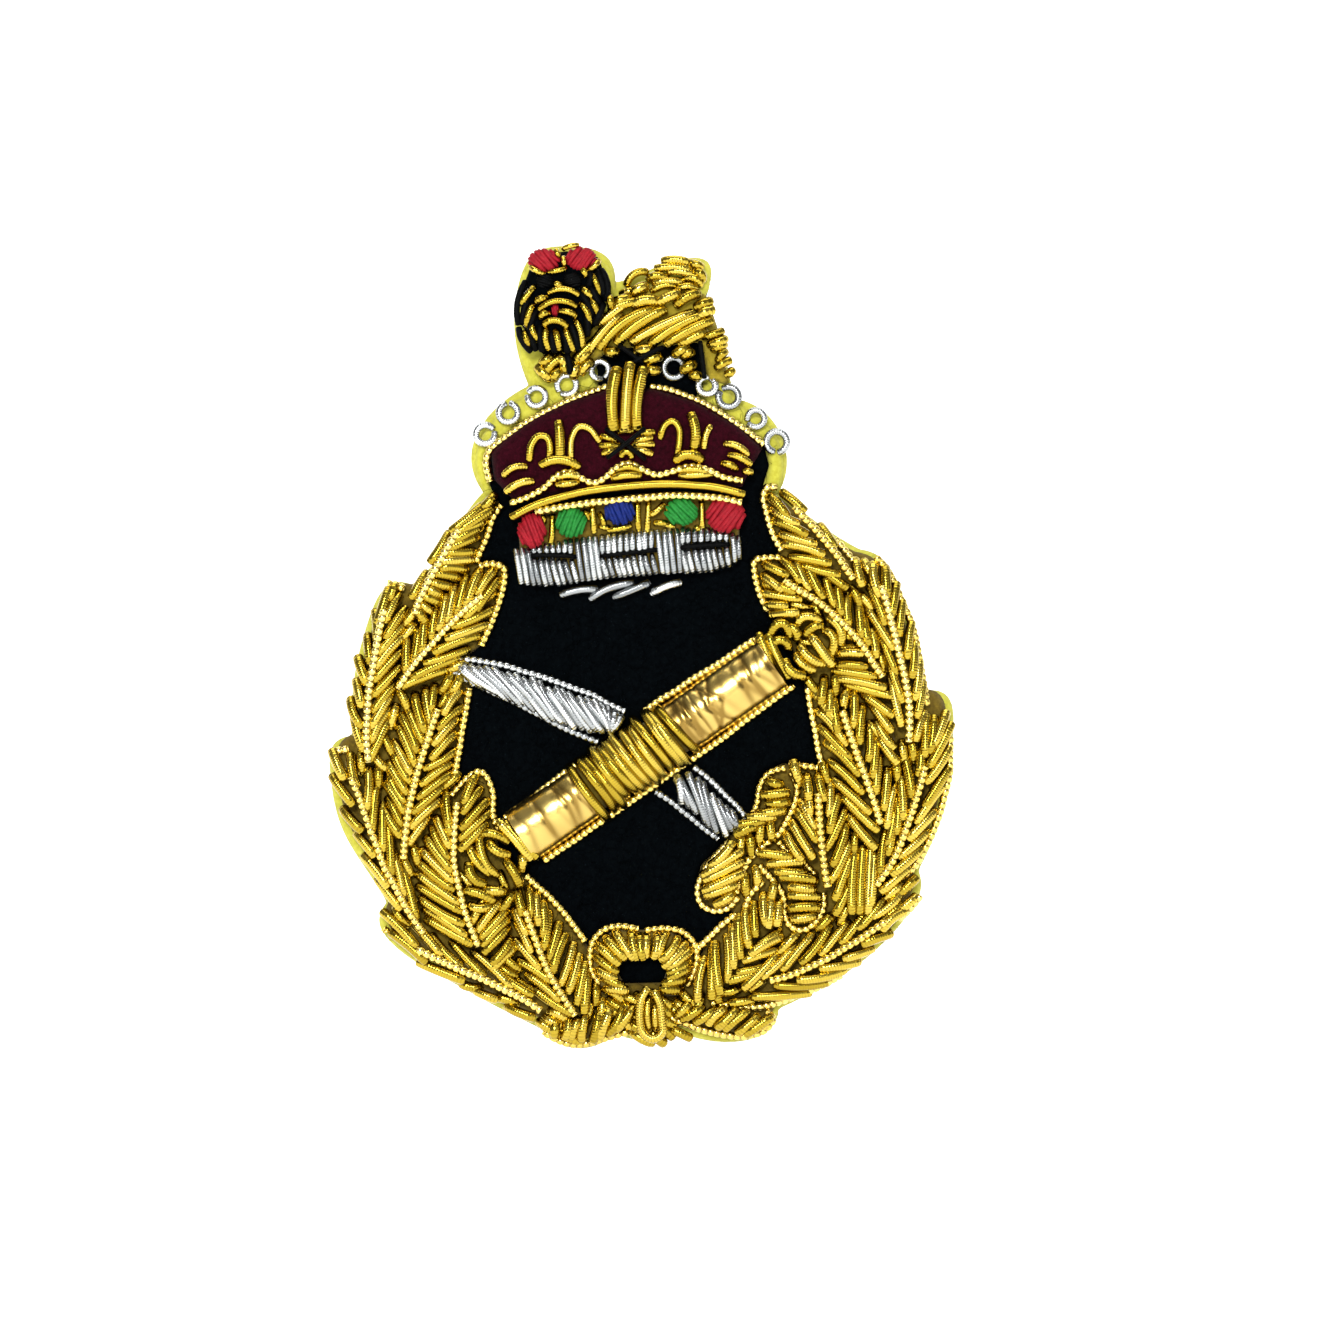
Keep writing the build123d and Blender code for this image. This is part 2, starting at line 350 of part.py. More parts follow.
CIRCLET_PURLS = [((-4.3, 12.9), (-3.9, 11.5)), ((-3.3, 11.4), (-1.2, 11.7)), ((2.6, 13.9), (2.7, 12.9)),
                 ((2.4, 11.6), (3, 11.5)), ((5.1, 11.7), (5.2, 11.2)), ((-9.5, 12.6), (-9.4, 11.9)),
                 ((-8.95, 12.4), (-8.85, 10.2)), ((-4.75, 13.6), (-4.65, 11.2)), ((-0.4, 14), (-0.5, 11.4)),
                 ((0.5, 13.9), (0.4, 11.3)), ((5.6, 14), (5.75, 11.4)), ((1, 12.6), (2.2, 13.8)),
                 ((1.2, 11.8), (2.3, 12.2)), ((-4.2, 11.8), (-3.2, 11.5)), ((-5.4, 13.3), (-4.9, 12.2))]
JEWELS = {"jewels_red": [(-10.6, 11.2, 1.3, 1.6), (8, 12.7, 1.75, 1.55)],
          "jewels_green": [(-6.84, 12, 1.4, 1.35), (3.74, 13, 1.5, 1.2)],
          "jewel_blue": [(-2.16, 13, 1.4, 1.15)]}
ERMINE_TOP = [(-12.2, 9.3), (-10, 9.7), (-6, 10.4), (-1.2, 11), (3, 11.3), (6.6, 11.3), (9.2, 10.6)]
ERMINE_MIDDLE = [(-12.2, 8.9), (-9, 8.7), (-5.5, 8.6), (-1.5, 8.9), (2.5, 9.4), (6, 9.8), (9.2, 9.8)]
ERMINE_BOTTOM = [(-11.6, 6.3), (-9.6, 6), (-5.4, 6.5), (0.4, 7.1), (5, 7.3), (7.8, 7.7), (9.3, 8.6)]
ERMINE_TAILS = [((-11, 8.85), (-8.8, 8.7), (-6.4, 8.5)), ((-4, 8.75), (-1.4, 8.9), (1.3, 9.2)),
                ((3.6, 9.55), (6, 9.8), (8.4, 9.85))]
FRINGE = [((-7.8, 5.1), (-6, 5.6), (-4.3, 5.7)), ((-5, 4.7), (-3.4, 5.7), (-1, 6.2)),
          ((-2.7, 4.9), (-1, 5.5), (0.6, 6.2)), ((0.9, 5.2), (2.2, 5.8), (3.7, 6.2))]

# ---------------------------------------------------------------- lion
LION_BODY = [(-9.8, 26), (-9.6, 28.4), (-4, 31.6), (-1.6, 34.8), (1.6, 35), (6.2, 34), (7.2, 31), (8.4, 25.4),
             (6.2, 25.6), (5.6, 29.4), (1.8, 29), (-3, 28.8), (-6.4, 26)]
LION_HEAD = [(-11.6, 31), (-11.8, 34), (-10.4, 37.6), (-7.4, 38.2), (-4.2, 37.6), (-3.2, 34.6), (-4.4, 31),
             (-6.2, 28.4), (-9.6, 28.2)]
LION_PURLS = [
    ((-6.7, 27), (-5.8, 28.2), (-4.8, 29.3)), ((-5.2, 28.5), (-3.9, 30.4), (-2, 32)),
    ((-3.9, 28.9), (-1.9, 31), (0.9, 32.3)), ((-2.4, 29.4), (-0.4, 31), (2.1, 32.2)),
    ((-0.9, 29.2), (1.7, 31), (4.4, 32.3)), ((0.6, 29.2), (3, 30.9), (5.6, 31.9)),
    ((2.2, 29.2), (4.2, 30.3), (6.4, 31.3)), ((-4, 31.2), (-3, 32.2), (-1.4, 33)),
    ((-2.3, 33.2), (-1.2, 33.5)), ((-1, 32.9), (0.2, 33.4), (1.4, 33.3)),
    ((1.5, 33.1), (2.4, 33.6), (3.3, 33.9)), ((3.5, 33), (4.4, 33.6), (5.3, 33.9)),
    ((5.4, 32.7), (6.4, 33.1)), ((5.7, 32), (6.7, 32.2)), ((-0.9, 34.4), (0.4, 34.7)),
    ((-9.6, 27.3), (-8.8, 28)), ((-9.2, 26.3), (-8.6, 27.2), (-7.4, 27.8)), ((-5.9, 26.4), (-5.1, 27.2)),
    ((-3.1, 28.4), (-2.3, 28.4)), ((-0.6, 28.6), (0.6, 28.7)), ((0.2, 27.6), (1.5, 27.6)),
    ((0.3, 26.9), (1.3, 26.5)), ((3, 28.2), (4, 29)), ((4.1, 27.9), (4.7, 28.4)),
    ((4.1, 26.7), (4.9, 27.3)), ((4.7, 26), (5.3, 26.3)), ((-7.9, 27.1), (-7.3, 26.6)),
    ((-9.8, 26.6), (-9, 25.8)), ((-8.6, 26), (-7.8, 26.7)), ((-8, 28), (-7.1, 27.4)),
    ((-6.8, 26), (-6, 26.9)), ((-6.3, 27.6), (-5.4, 28.6)), ((3.9, 29.3), (5, 29.9), (6, 30.4)),
    ((-2.9, 32.5), (-1.6, 33.1), (-0.4, 33.2)),
]
TAIL_PURLS = [((-1.6, 34.9), (-1, 35.7), (0.5, 36.2)), ((0.6, 35.6), (1.5, 35.8), (2.4, 35.6)),
              ((1.3, 36.6), (2.8, 36.6), (4.5, 36.3)), ((2, 37.1), (3.2, 37.3), (4.4, 37.1)),
              ((4.7, 37.1), (5.5, 36.6)), ((-1.9, 34.1), (-0.8, 34.4), (0.4, 34.3)),
              ((0.7, 34.3), (1.9, 34.7), (3.2, 34.6)), ((3.4, 34.5), (4.4, 34.6), (5.4, 34.3)),
              ((1.2, 35.1), (2.6, 35.3), (4, 35.1)), ((4, 35.5), (4.9, 35.5), (5.6, 35)),
              ((2.6, 35.9), (3.8, 36), (5, 35.8)), ((5, 36.5), (5.6, 36.2), (5.9, 35.5))]
LEG_PURLS = [((5.9 + 0.42 * i, 29.9 - 0.72 * i), (7.6 + 0.17 * i, 30.5 - 0.76 * i)) for i in range(6)]
MANE_PURLS = [((-10.4, 34.6), (-10.9, 34), (-11.6, 32.9)), ((-10.4, 32.8), (-11, 31.9), (-11.1, 30.9)),
              ((-10.6, 31.1), (-10.4, 30.3), (-10, 29.5)), ((-11.3, 30.2), (-10.9, 28.9)),
              ((-4.8, 35.6), (-4.3, 34.9), (-4.1, 34)), ((-5.7, 34.5), (-4.9, 33.6)),
              ((-4.9, 33.2), (-4.5, 32.6), (-4.3, 32)), ((-3.2, 33.7), (-3, 32.8)),
              ((-5.7, 36.5), (-5.3, 35.7)), ((-9.1, 30.6), (-9.3, 29.6), (-9, 28.7)),
              ((-8.3, 30.4), (-8, 29.5), (-7.9, 28.6)), ((-7.4, 30.4), (-7, 29.4), (-6.6, 28.5)),
              ((-6.4, 31.4), (-5.9, 30.3), (-5.8, 28.9)), ((-5.9, 33), (-5.3, 32.2), (-5, 31.2))]
MANE_THREADS = [((-11.2, 35), (-12, 33), (-11.9, 31)), ((-11.9, 30.6), (-11.5, 29.4), (-10.7, 28.4)),
                ((-11, 33.4), (-11.5, 32), (-11.6, 31)), ((-10, 32.4), (-10.7, 31), (-10.2, 28.6)),
                ((-9.8, 30.8), (-9.8, 29.6), (-9.6, 28.5)), ((-8.7, 30.3), (-8.6, 29.4), (-8.4, 28.4)),
                ((-7.8, 30.3), (-7.4, 29.4), (-7.2, 28.3)), ((-6.9, 31.1), (-6.4, 30), (-6.2, 28.6)),
                ((-5.5, 32.2), (-5.2, 31.2), (-5.3, 30)), ((-6, 34), (-5.4, 33.2), (-4.9, 31.6)),
                ((-5, 34.6), (-4.6, 33.9), (-4.1, 33)), ((-3.9, 36.2), (-3.4, 35), (-3.5, 33.4)),
                ((-4.4, 36), (-3.9, 35), (-3.7, 33.8)), ((-3.7, 32.9), (-4.1, 32), (-4.7, 31)),
                ((-5.2, 36.2), (-5, 35.4), (-5.3, 34.6)), ((-7.2, 28), (-6.9, 27.2), (-7, 26.4))]
FACE_PURLS = [((-8.9, 34), (-7.6, 34.4), (-6.2, 33.8)), ((-10.1, 33.1), (-9.7, 33.4), (-9.2, 33.5)),
              ((-9.8, 32.5), (-8.2, 33.2), (-6.4, 32.7)), ((-9.7, 31.6), (-9.3, 31.9), (-8.9, 31.9)),
              ((-7.9, 32.2), (-7.1, 32.1), (-6.4, 31.8)), ((-9.4, 30.9), (-8.4, 31.3), (-7.2, 30.8)),
              ((-8.3, 34.9), (-7.8, 34.7))]
EYES = [(-9.35, 35.1, 0.75, 0.62), (-6.7, 35.2, 0.8, 0.65)]
MOUTH = (-8.35, 32.35, 0.32, 0.55)
HEAD_CAP = [(-9.4, 37.1, 1.45, 1.05), (-5.9, 37.3, 1.4, 1.05)]
HEAD_CAP_PURLS = [((-8.3, 38.1), (-8.1, 37.6)), ((-7.6, 37.4), (-7.5, 36.7)),
                  ((-10.6, 36.5), (-10.1, 36.1), (-9.4, 35.9)), ((-9, 36), (-8.2, 36.1), (-7.3, 36.3)),
                  ((-5, 36.3), (-4.5, 36.6), (-4.2, 37)), ((-7.6, 38.2), (-6.9, 38.5), (-6.2, 38.6))]

# ---------------------------------------------------------------- sword and baton
BLADE_FANS = [
    ([(-17, -3), (-13, -4.8), (-9.4, -6.4), (-6, -7.8), (-3, -8)],
     [(-17.4, -1.9), (-14.6, -2), (-11.2, -3.1), (-7.6, -4.2), (-4.2, -5.5), (-2, -6.7)]),
    ([(3.9, -14.8), (5.9, -16.6), (8, -17.8), (9, -17.2)],
     [(3.4, -12.6), (4.8, -12.2), (6.8, -14.2), (8.6, -15.8)]),
]
BLADE_EDGES = [
    [(-18.2, -1.5), (-16.8, -1.2), (-14.4, -1.5), (-12.4, -2), (-9.8, -2.8), (-6.6, -3.9),
     (-4, -5), (-1.7, -6.2)],
    [(-18.7, -1.9), (-17.4, -2.8), (-15.4, -3.8), (-12.6, -5.1), (-9.9, -6.5), (-7.4, -7.9),
     (-4.3, -9.1)],
    [(4.9, -11.5), (6.4, -12.7), (8.2, -14.4), (10, -16.4)],
    [(1.3, -13.9), (3.4, -15.3), (5.3, -16.9), (7.3, -18.4)],
]
HILT_FANS = [
    ([(8.6, -19), (9.6, -20.2), (9.2, -22.2), (8.6, -23.9)],
     [(6.6, -20.8), (6, -22.2), (6, -23.6), (7, -24.6)]),
    ([(13.4, -13), (14, -14), (13.8, -15.2), (12.4, -16.3), (10.8, -17.2)],
     [(12.3, -12.9), (11.9, -14.3), (12.1, -15.4), (10.8, -16.1), (9.2, -18.2)]),
    ([(11.6, -20), (12.6, -21.2), (14, -22.4), (14.2, -24.2), (14.2, -26)],
     [(14.4, -20.2), (15.6, -21.4), (16.4, -22.7), (16.9, -24.3), (16.4, -25.9)]),
]
HILT_EDGES = [
    [(8.4, -18.6), (7, -20), (5.8, -21.7), (5.2, -23.2), (5.5, -24.7), (6.8, -25.5), (8.3, -25.1),
     (9.2, -24)],
    [(9, -23.6), (9.4, -22.4), (9.8, -21.2), (10.5, -20.1), (11.8, -19), (13.2, -17.9), (13.9, -16.6),
     (14.7, -15), (15, -13.4), (14.3, -12)],
    [(10.1, -16.9), (11.1, -15.3), (11.2, -13.4), (12.2, -11.9), (13.8, -11.6)],
    [(11.3, -21), (12.6, -22.4), (13.6, -23.8), (13.6, -25.4), (14.1, -26.9), (15.4, -27.4),
     (16.8, -26.5), (17.5, -24.8), (17.4, -23.6)],
    [(13.1, -18.7), (14.2, -19.9), (15.6, -20.8), (16.8, -22)],
]
BATON_EDGES = [
    [(-13.2, -16.4), (-9.6, -13.8), (-6.4, -11.2)],
    [(0.2, -6.1), (3.8, -3.7), (7.4, -1.5), (10.8, 0.8)],
    [(-9.6, -20.6), (-6.4, -18.4), (-2.9, -16), (0.4, -13.8), (4.2, -11.3), (7.9, -8.6), (11.2, -6.1),
     (14.6, -3.7)],
]
BATON_END_PURLS = [
    ((10.9, 1.2), (11.6, -0.3), (12.6, -1.9)), ((11.8, 1), (12.9, -0.9), (14.1, -2.8)),
    ((13.9, -1.2), (14.6, -2.2), (15.6, -2.8)), ((14.8, -0.6), (15.5, -1.5), (16.3, -2.1)),
    ((15.3, 0.4), (16, -0.6), (17, -1.6)), ((16.5, 1.1), (17, -0.4), (18, -1.9)),
    ((17.4, 1.6), (18.1, 0.4), (18.2, -0.8)), ((17.8, 2.6), (18.7, 1.6), (18.9, 0.1)),
    ((15.1, 2.4), (16, 3.2), (17.1, 2.6)), ((15.6, 1.5), (16.4, 2.1), (17, 1.8)),
    ((13.9, 2.2), (14.6, 1.4), (14.6, 0.5)), ((12.2, 1.7), (13.2, 2.3), (13.9, 1.2)),
    ((12.6, -0.1), (13.1, 0.6), (13.8, -0.1)),
    ((-13.9, -16.8), (-12.6, -18.5), (-11, -20.4)), ((-13, -16.8), (-11.8, -18.3), (-10.3, -20.3)),
    ((-14.8, -18), (-13.8, -18.1), (-13.1, -18.8)), ((-15.3, -18.4), (-15, -20), (-14, -21.7)),
    ((-14.6, -18.9), (-13.8, -19.8), (-13.1, -19.9)), ((-13.4, -20.5), (-12.7, -21.6), (-11.9, -22.6)),
    ((-12.2, -20.2), (-11.6, -20.9), (-11.5, -21.5)), ((-16.2, -19.5), (-15.7, -20.8), (-14.9, -21.8)),
    ((-16.7, -20.5), (-16.5, -21.9), (-15.4, -22.8)), ((-14.9, -23.1), (-14.2, -22.9), (-13.4, -23.2)),
    ((-17.1, -23.6), (-16, -23.6), (-14.6, -24.1)), ((-16.6, -24.6), (-15.4, -24.8), (-14.6, -24.7)),
]

# ================================================================ building blocks
def at(point, height):
    """A place in the model from a flat point and a height above the back."""
    return Vector(point[0], -height, point[1])


def slab(face, low, high):
    """A flat layer: a face drawn in (u, v), thick from one height to another."""
    return extrude(Plane.XZ.offset(low) * face, amount=high - low)


def outline_face(scale=1.0):
    """The badge's outline, as smooth stretches that meet at corners."""
    stretches = [Spline(*[(u * scale, v * scale) for u, v in stretch]) for stretch in OUTLINE]
    return make_face(stretches)


def polygon(points):
    """A face with straight sides."""
    return make_face(Polyline(*points, close=True))


def towards(point, target, share):
    """The point that lies a share of the way from one flat point to another."""
    return (point[0] + (target[0] - point[0]) * share, point[1] + (target[1] - point[1]) * share)


def pillow(points, low, high, inset):
    """A padded shape: its outline at the bottom, drawn in towards its middle at the top."""
    middle = (sum(p[0] for p in points) / len(points), sum(p[1] for p in points) / len(points))
    top = [towards(p, middle, inset) for p in points]
    return loft([Plane.XZ.offset(low) * polygon(points), Plane.XZ.offset(high) * polygon(top)],
                ruled=True)


def along(points, share):
    """The flat point a share of the way along a smooth line through points."""
    place = Spline(*points) @ share if len(points) > 2 else Line(*points) @ share
    return (place.X, place.Y)


def tube(path, radius):
    """A round wire that follows a path."""
    return sweep(Plane(origin=path @ 0, z_dir=path % 0) * Circle(radius), path=path)


def purl(points, radius, height, lift=PURL_LIFT):
    """One cut length of purl through two or three flat points, a little higher in the middle.

    height is one number, or the heights of the first and the last point.
    """
    start, end = points[0], points[-1]
    if len(points) == 2:
        middle = towards(start, end, 0.5)
        lift = min(lift, SHORT_LIFT * math.dist(start, end))
    else:
        middle = points[1]
    first, last = height if isinstance(height, tuple) else (height, height)
    return tube(ThreePointArc(at(start, first), at(middle, (first + last) / 2 + lift), at(end, last)),
                radius)


def purls(rows, radius, height, lift=PURL_LIFT):
    """Several purls as separate solids of one piece."""
    return Compound(children=[purl(row, radius, height, lift) for row in rows])


def fan_rows(inner, outer, pitch=PURL_PITCH, lean=0.0):
    """The ends of a row of purls from an inner to an outer line, a pitch apart across their length.

    lean moves the inner ends on by that share of the line, which slants the purls; at the line's two
    ends the purls fan out instead.
    """
    roots = [along(inner, i / FAN_STATIONS) for i in range(FAN_STATIONS + 1)]
    tips = [along(outer, i / FAN_STATIONS) for i in range(FAN_STATIONS + 1)]
    width = 0
    for i in range(FAN_STATIONS):
        run = (tips[i][0] - roots[i][0], tips[i][1] - roots[i][1])
        steps_here = [(line[i + 1][0] - line[i][0], line[i + 1][1] - line[i][1]) for line in (roots, tips)]
        width += max(abs(run[0] * v - run[1] * u) for u, v in steps_here) / math.hypot(*run)
    count = max(2, round(width * (1 + lean) / pitch) + 1)
    shares = [(1 + lean) * i / (count - 1) for i in range(count)]
    return [(along(inner, min(1, share)), along(outer, max(0, share - lean))) for share in shares]


def turn_at(before, corner, after):
    """How many degrees a route turns at a corner."""
    first, second = (Vector(q[0] - p[0], q[1] - p[1]) for p, q in ((before, corner), (corner, after)))
    return first.get_angle(second)


def couched(points, height, radius=PEARL_R):
    """A long wire laid flat along a route: straight runs joined by tangent arcs."""
    route = [points[0]]
    for corner, after in zip(points[1:], points[2:]):
        if turn_at(route[-1], corner, after) > LEAST_TURN:
            route.append(corner)
    route.append(points[-1])
    radii = []
    for before, corner, after in zip(route, route[1:], route[2:]):
        shorter = min(math.dist(before, corner), math.dist(corner, after))
        radii.append(BEND_SHARE * shorter / math.tan(math.radians(turn_at(before, corner, after)) / 2))
    places = [at(point, height) for point in route]
    path = FilletPolyline(*places, radius=radii) if radii else Line(*places)
    return tube(path, radius)


def couched_group(routes, height, radius=PEARL_R):
    """Several long wires as separate solids of one piece."""
    return Compound(children=[couched(route, height, radius) for route in routes])


def dome(u, v, half_width, half_height, low, rise):
    """A small rounded thread pad with an oval outline."""
    body = slab(Pos(u, v) * Ellipse(half_width, half_height), low, low + rise)
    top = body.faces().sort_by(Axis.Y)[0]
    short, long = sorted((half_width, half_height))
    tightest_bend = short * short / long
    return fillet(top.edges(), min(tightest_bend, rise) * DOME_ROUNDING)


def save(shape, node):
    """Write one sub-part."""
    export_step(shape, f"parts/{node}.step")


# ================================================================ layers
def make_layers():
    save(slab(outline_face(LINING_SCALE), 0, LINING_TOP), "backing_lining")
    save(slab(outline_face(STIFFENER_SCALE), LINING_TOP, STIFFENER_TOP), "stiffener")
    save(slab(outline_face(), STIFFENER_TOP, EDGE_FELT_TOP), "edge_felt")
    save(slab(polygon(FIELD), EDGE_FELT_TOP, GROUND_TOP), "ground_cloth")


# ================================================================ wreath
def fan_pad(inner, outer):
    """The felt under a fan of purls: from its inner line most of the way to its outer line."""
    shares = [i / FAN_PAD_STATIONS for i in range(FAN_PAD_STATIONS + 1)]
    root = [along(inner, share) for share in shares]
    edge = [towards(point, along(outer, share), FAN_PAD_WIDTH) for point, share in zip(root, shares)]
    return slab(polygon(root + edge[::-1]), GROUND_TOP, FAN_PAD_TOP)


def reach(root, tip, border):
    """A purl's outer end, moved along the purl to the badge's border if that is near enough."""
    length = math.dist(root, tip)
    run = ((tip[0] - root[0]) / length, (tip[1] - root[1]) / length)
    for (u0, v0), (u1, v1) in zip(border, border[1:] + border[:1]):
        across = run[0] * (v1 - v0) - run[1] * (u1 - u0)
        if across:
            far = ((u0 - root[0]) * (v1 - v0) - (v0 - root[1]) * (u1 - u0)) / across
            share = ((u0 - root[0]) * run[1] - (v0 - root[1]) * run[0]) / across
            if 0 <= share <= 1 and length / 2 < far < length + BORDER_REACH:
                return (root[0] + run[0] * far, root[1] + run[1] * far)
    return tip


def gap_to(point, row):
    """How far a flat point is from a straight purl."""
    (u0, v0), (u1, v1) = row[0], row[-1]
    length = math.dist(row[0], row[-1])
    share = ((point[0] - u0) * (u1 - u0) + (point[1] - v0) * (v1 - v0)) / length ** 2
    return math.dist(point, towards(row[0], row[-1], min(1, max(0, share))))


def within(point, loop):
    """Whether a flat point lies inside a closed outline."""
    inside = False
    for (u0, v0), (u1, v1) in zip(loop, loop[1:] + loop[:1]):
        if (v0 > point[1]) != (v1 > point[1]):
            inside ^= point[0] < (u1 - u0) * (point[1] - v0) / (v1 - v0) + u0
    return inside


def fillers(leaves, lines, border):
    """Short purls that close the bare places between the leaves, each laid like its nearest neighbour."""
    laid = [(name, row) for name, rows in leaves.items() for row in rows]
    across = round(2 * FILL_REACH / FILL_STEP)
    for i in range(across * across):
        over, up = i % across, i // across
        point = (FILL_STEP * over - FILL_REACH, FILL_STEP * up - FILL_REACH + WREATH_MIDDLE)
        taken = any(within(point, loop) for loop in (FIELD, BOW_OUTLINE, *BOW_TAILS))
        if point[1] > FILL_TOP or taken or not within(point, border):
            continue
        gap, name, row = min((gap_to(point, row), name, row) for name, row in laid)
        if gap < FILL_GAP or min(gap_to(point, line) for line in lines) < FILL_GAP:
            continue
        share = FILL_LENGTH / 2 / math.dist(row[0], row[-1])
        half = ((row[-1][0] - row[0][0]) * share, (row[-1][1] - row[0][1]) * share)
        filler = ((point[0] - half[0], point[1] - half[1]), (point[0] + half[0], point[1] + half[1]))
        if within(filler[1], border):
            laid.append((name, filler))
            leaves[name].append(filler)


def make_wreath():
    rib_height = PAD_TOP + PURL_R
    rim_height = GROUND_TOP + PURL_R
    shares = [i / BORDER_STATIONS for i in range(BORDER_STATIONS)]
    border = [towards((0, 0), along(stretch, share), BORDER_SCALE) for stretch in OUTLINE for share in shares]
    leaves = {name: [(root, reach(root, tip, border)) for inner, outer in fans
                     for root, tip in fan_rows(inner, outer)] for name, fans in LEAVES.items()}
    routes = LEFT_RIBS + RIGHT_RIBS + LEFT_EDGES + RIGHT_EDGES + BOW_EDGES + HILT_EDGES + BATON_END_PURLS
    lines = [pair for route in routes for pair in zip(route, route[1:])]
    lines += [row for inner, outer in HILT_FANS for row in fan_rows(inner, outer)]
    counts = {name: len(rows) for name, rows in leaves.items()}
    fillers(leaves, lines, border)
    for name, rows in leaves.items():
        laid = [purl(row, PURL_R, (rib_height, rim_height)) for row in rows[:counts[name]]]
        laid += [purl(row, PURL_R, rim_height) for row in rows[counts[name]:]]
        save(Compound(children=laid), name)
    pads = [fan_pad(inner, outer) for fans in LEAVES.values() for inner, outer in fans if len(inner) > 2]
    base = slab(outline_face(FELT_BASE_SCALE) - polygon(FIELD), EDGE_FELT_TOP, GROUND_TOP)
    save(Compound(children=base.solids() + [pad for pad in pads if pad.is_valid]), "wreath_pads")
    for side, ribs, edges in (("left", LEFT_RIBS, LEFT_EDGES), ("right", RIGHT_RIBS, RIGHT_EDGES)):
        save(couched_group(ribs, rib_height + RIB_RAISE), f"{side}_leaf_ribs")
        save(couched_group(edges, GROUND_TOP + PEARL_R), f"{side}_leaf_edging")


# ================================================================ bow
def make_bow():
    loops = polygon(BOW_OUTLINE) - polygon(BOW_HOLE)
    pads = [slab(loops, GROUND_TOP, PAD_TOP)]
    pads += [pillow(tail, GROUND_TOP, TAIL_PAD_TOP, TAIL_PAD_INSET) for tail in BOW_TAILS]
    save(Compound(children=pads), "bow_pads")
    heights = (PAD_TOP + PURL_R, GROUND_TOP + PURL_R + BOW_RIM_RAISE)
    rows = [row for inner, outer in BOW_FANS for row in fan_rows(inner, outer)]
    save(purls(rows, PURL_R, heights, HIGH_LIFT), "bow_loops_purl")
    rows = [row for inner, outer in TAIL_FANS for row in fan_rows(inner, outer)]
    save(purls(rows, PURL_R, PAD_TOP), "bow_tails_purl")
    knot = [couched(KNOT_LOOP, PAD_TOP + 2 * PURL_R, PURL_R)]
    knot += [purl(row, FACE_PURL_R, PAD_TOP + PURL_R) for row in KNOT_PURLS]
    save(Compound(children=knot), "bow_knot")
    save(couched_group(BOW_EDGES, GROUND_TOP + PEARL_R), "bow_edging")


# ================================================================ crown
def ermine_rows():
    """Silver purls side by side, in two rows that part for each black tail."""
    rows = []
    width = math.dist(ERMINE_BOTTOM[0], ERMINE_BOTTOM[-1])
    count = round(width / SILVER_PITCH)
    for i in range(count + 1):
        share = i / count
        top, middle, bottom = (along(line, share) for line in (ERMINE_TOP, ERMINE_MIDDLE, ERMINE_BOTTOM))
        tail_here = any(tail[0][0] < middle[0] < tail[-1][0] for tail in ERMINE_TAILS)
        if tail_here:
            gap = THREAD_R
            rows.append((top, (middle[0], middle[1] + gap)))
            rows.append(((middle[0], middle[1] - gap), bottom))
        else:
            rows.append((top, bottom))
    return rows


def pearl_loop(index):
    """One silver loop of the arch: a wire bent almost into a ring, opening another way each time."""
    opening = PEARL_LOOP_START + PEARL_LOOP_STEP * index
    radius = PEARL_LOOP_R * (1 + PEARL_LOOP_CHANGE * math.sin(3 * index))
    ends = []
    for share in (0, 0.5, 1):
        turn = math.radians(opening + PEARL_LOOP_TURN * share)
        ends.append((PEARLS[index][0] + radius * math.cos(turn), PEARLS[index][1] + radius * math.sin(turn)))
    return purl(ends, PEARL_R, GROUND_TOP + PEARL_R, FLAT_LIFT)


def make_crown():
    save(pillow(CROWN_CAP, GROUND_TOP, CROWN_CAP_TOP, CAP_INSET), "crown_cap")
    edging = [couched(route, GROUND_TOP + PEARL_R) for route in ARCH_EDGES[:2]]
    edging += [couched(route, CROWN_CAP_TOP + PEARL_R) for route in ARCH_EDGES[2:]]
    save(Compound(children=edging), "crown_edging")
    arch = [purl(row, ARCH_R, CROWN_CAP_TOP + ARCH_R) for row in ARCH_TUBES]
    arch.append(couched(RIM_WIRE, CROWN_CAP_TOP + PURL_R, PURL_R))
    save(Compound(children=arch), "crown_arch_and_rim")
    save(purls(CROSS_PURLS, CROSS_R, CROWN_CAP_TOP + CROSS_R, FLAT_LIFT), "crown_cross")
    over = CROWN_CAP_TOP + 2 * CROSS_R
    threads = [purl(CROSS_THREADS[0], CROSS_THREAD_R, over),
               purl(CROSS_THREADS[1], CROSS_THREAD_R, over + 2 * CROSS_THREAD_R)]
    threads += [purl(row, THREAD_R, PAD_TOP + THREAD_R + FLAT_LIFT, FLAT_LIFT) for row in ERMINE_TAILS]
    threads += [purl(row, THREAD_R, LION_BODY_TOP + 2 * LION_PURL_R) for row in LION_THREADS]
    save(Compound(children=threads), "crown_black_threads")
    fleurs = [couched(route, CROWN_CAP_TOP + FINE_PURL_R, FINE_PURL_R) for route in FLEUR_WIRES]
    fleurs += [purl(row, PURL_R, CROWN_CAP_TOP + PURL_R) for row in FLEUR_PURLS]
    fleurs += [purl(row, FINE_PURL_R, CROWN_CAP_TOP + FINE_PURL_R) for row in SIDE_PURLS]
    save(Compound(children=fleurs), "crown_fleurs")
    save(Compound(children=[pearl_loop(index) for index in range(len(PEARLS))]), "crown_pearls")


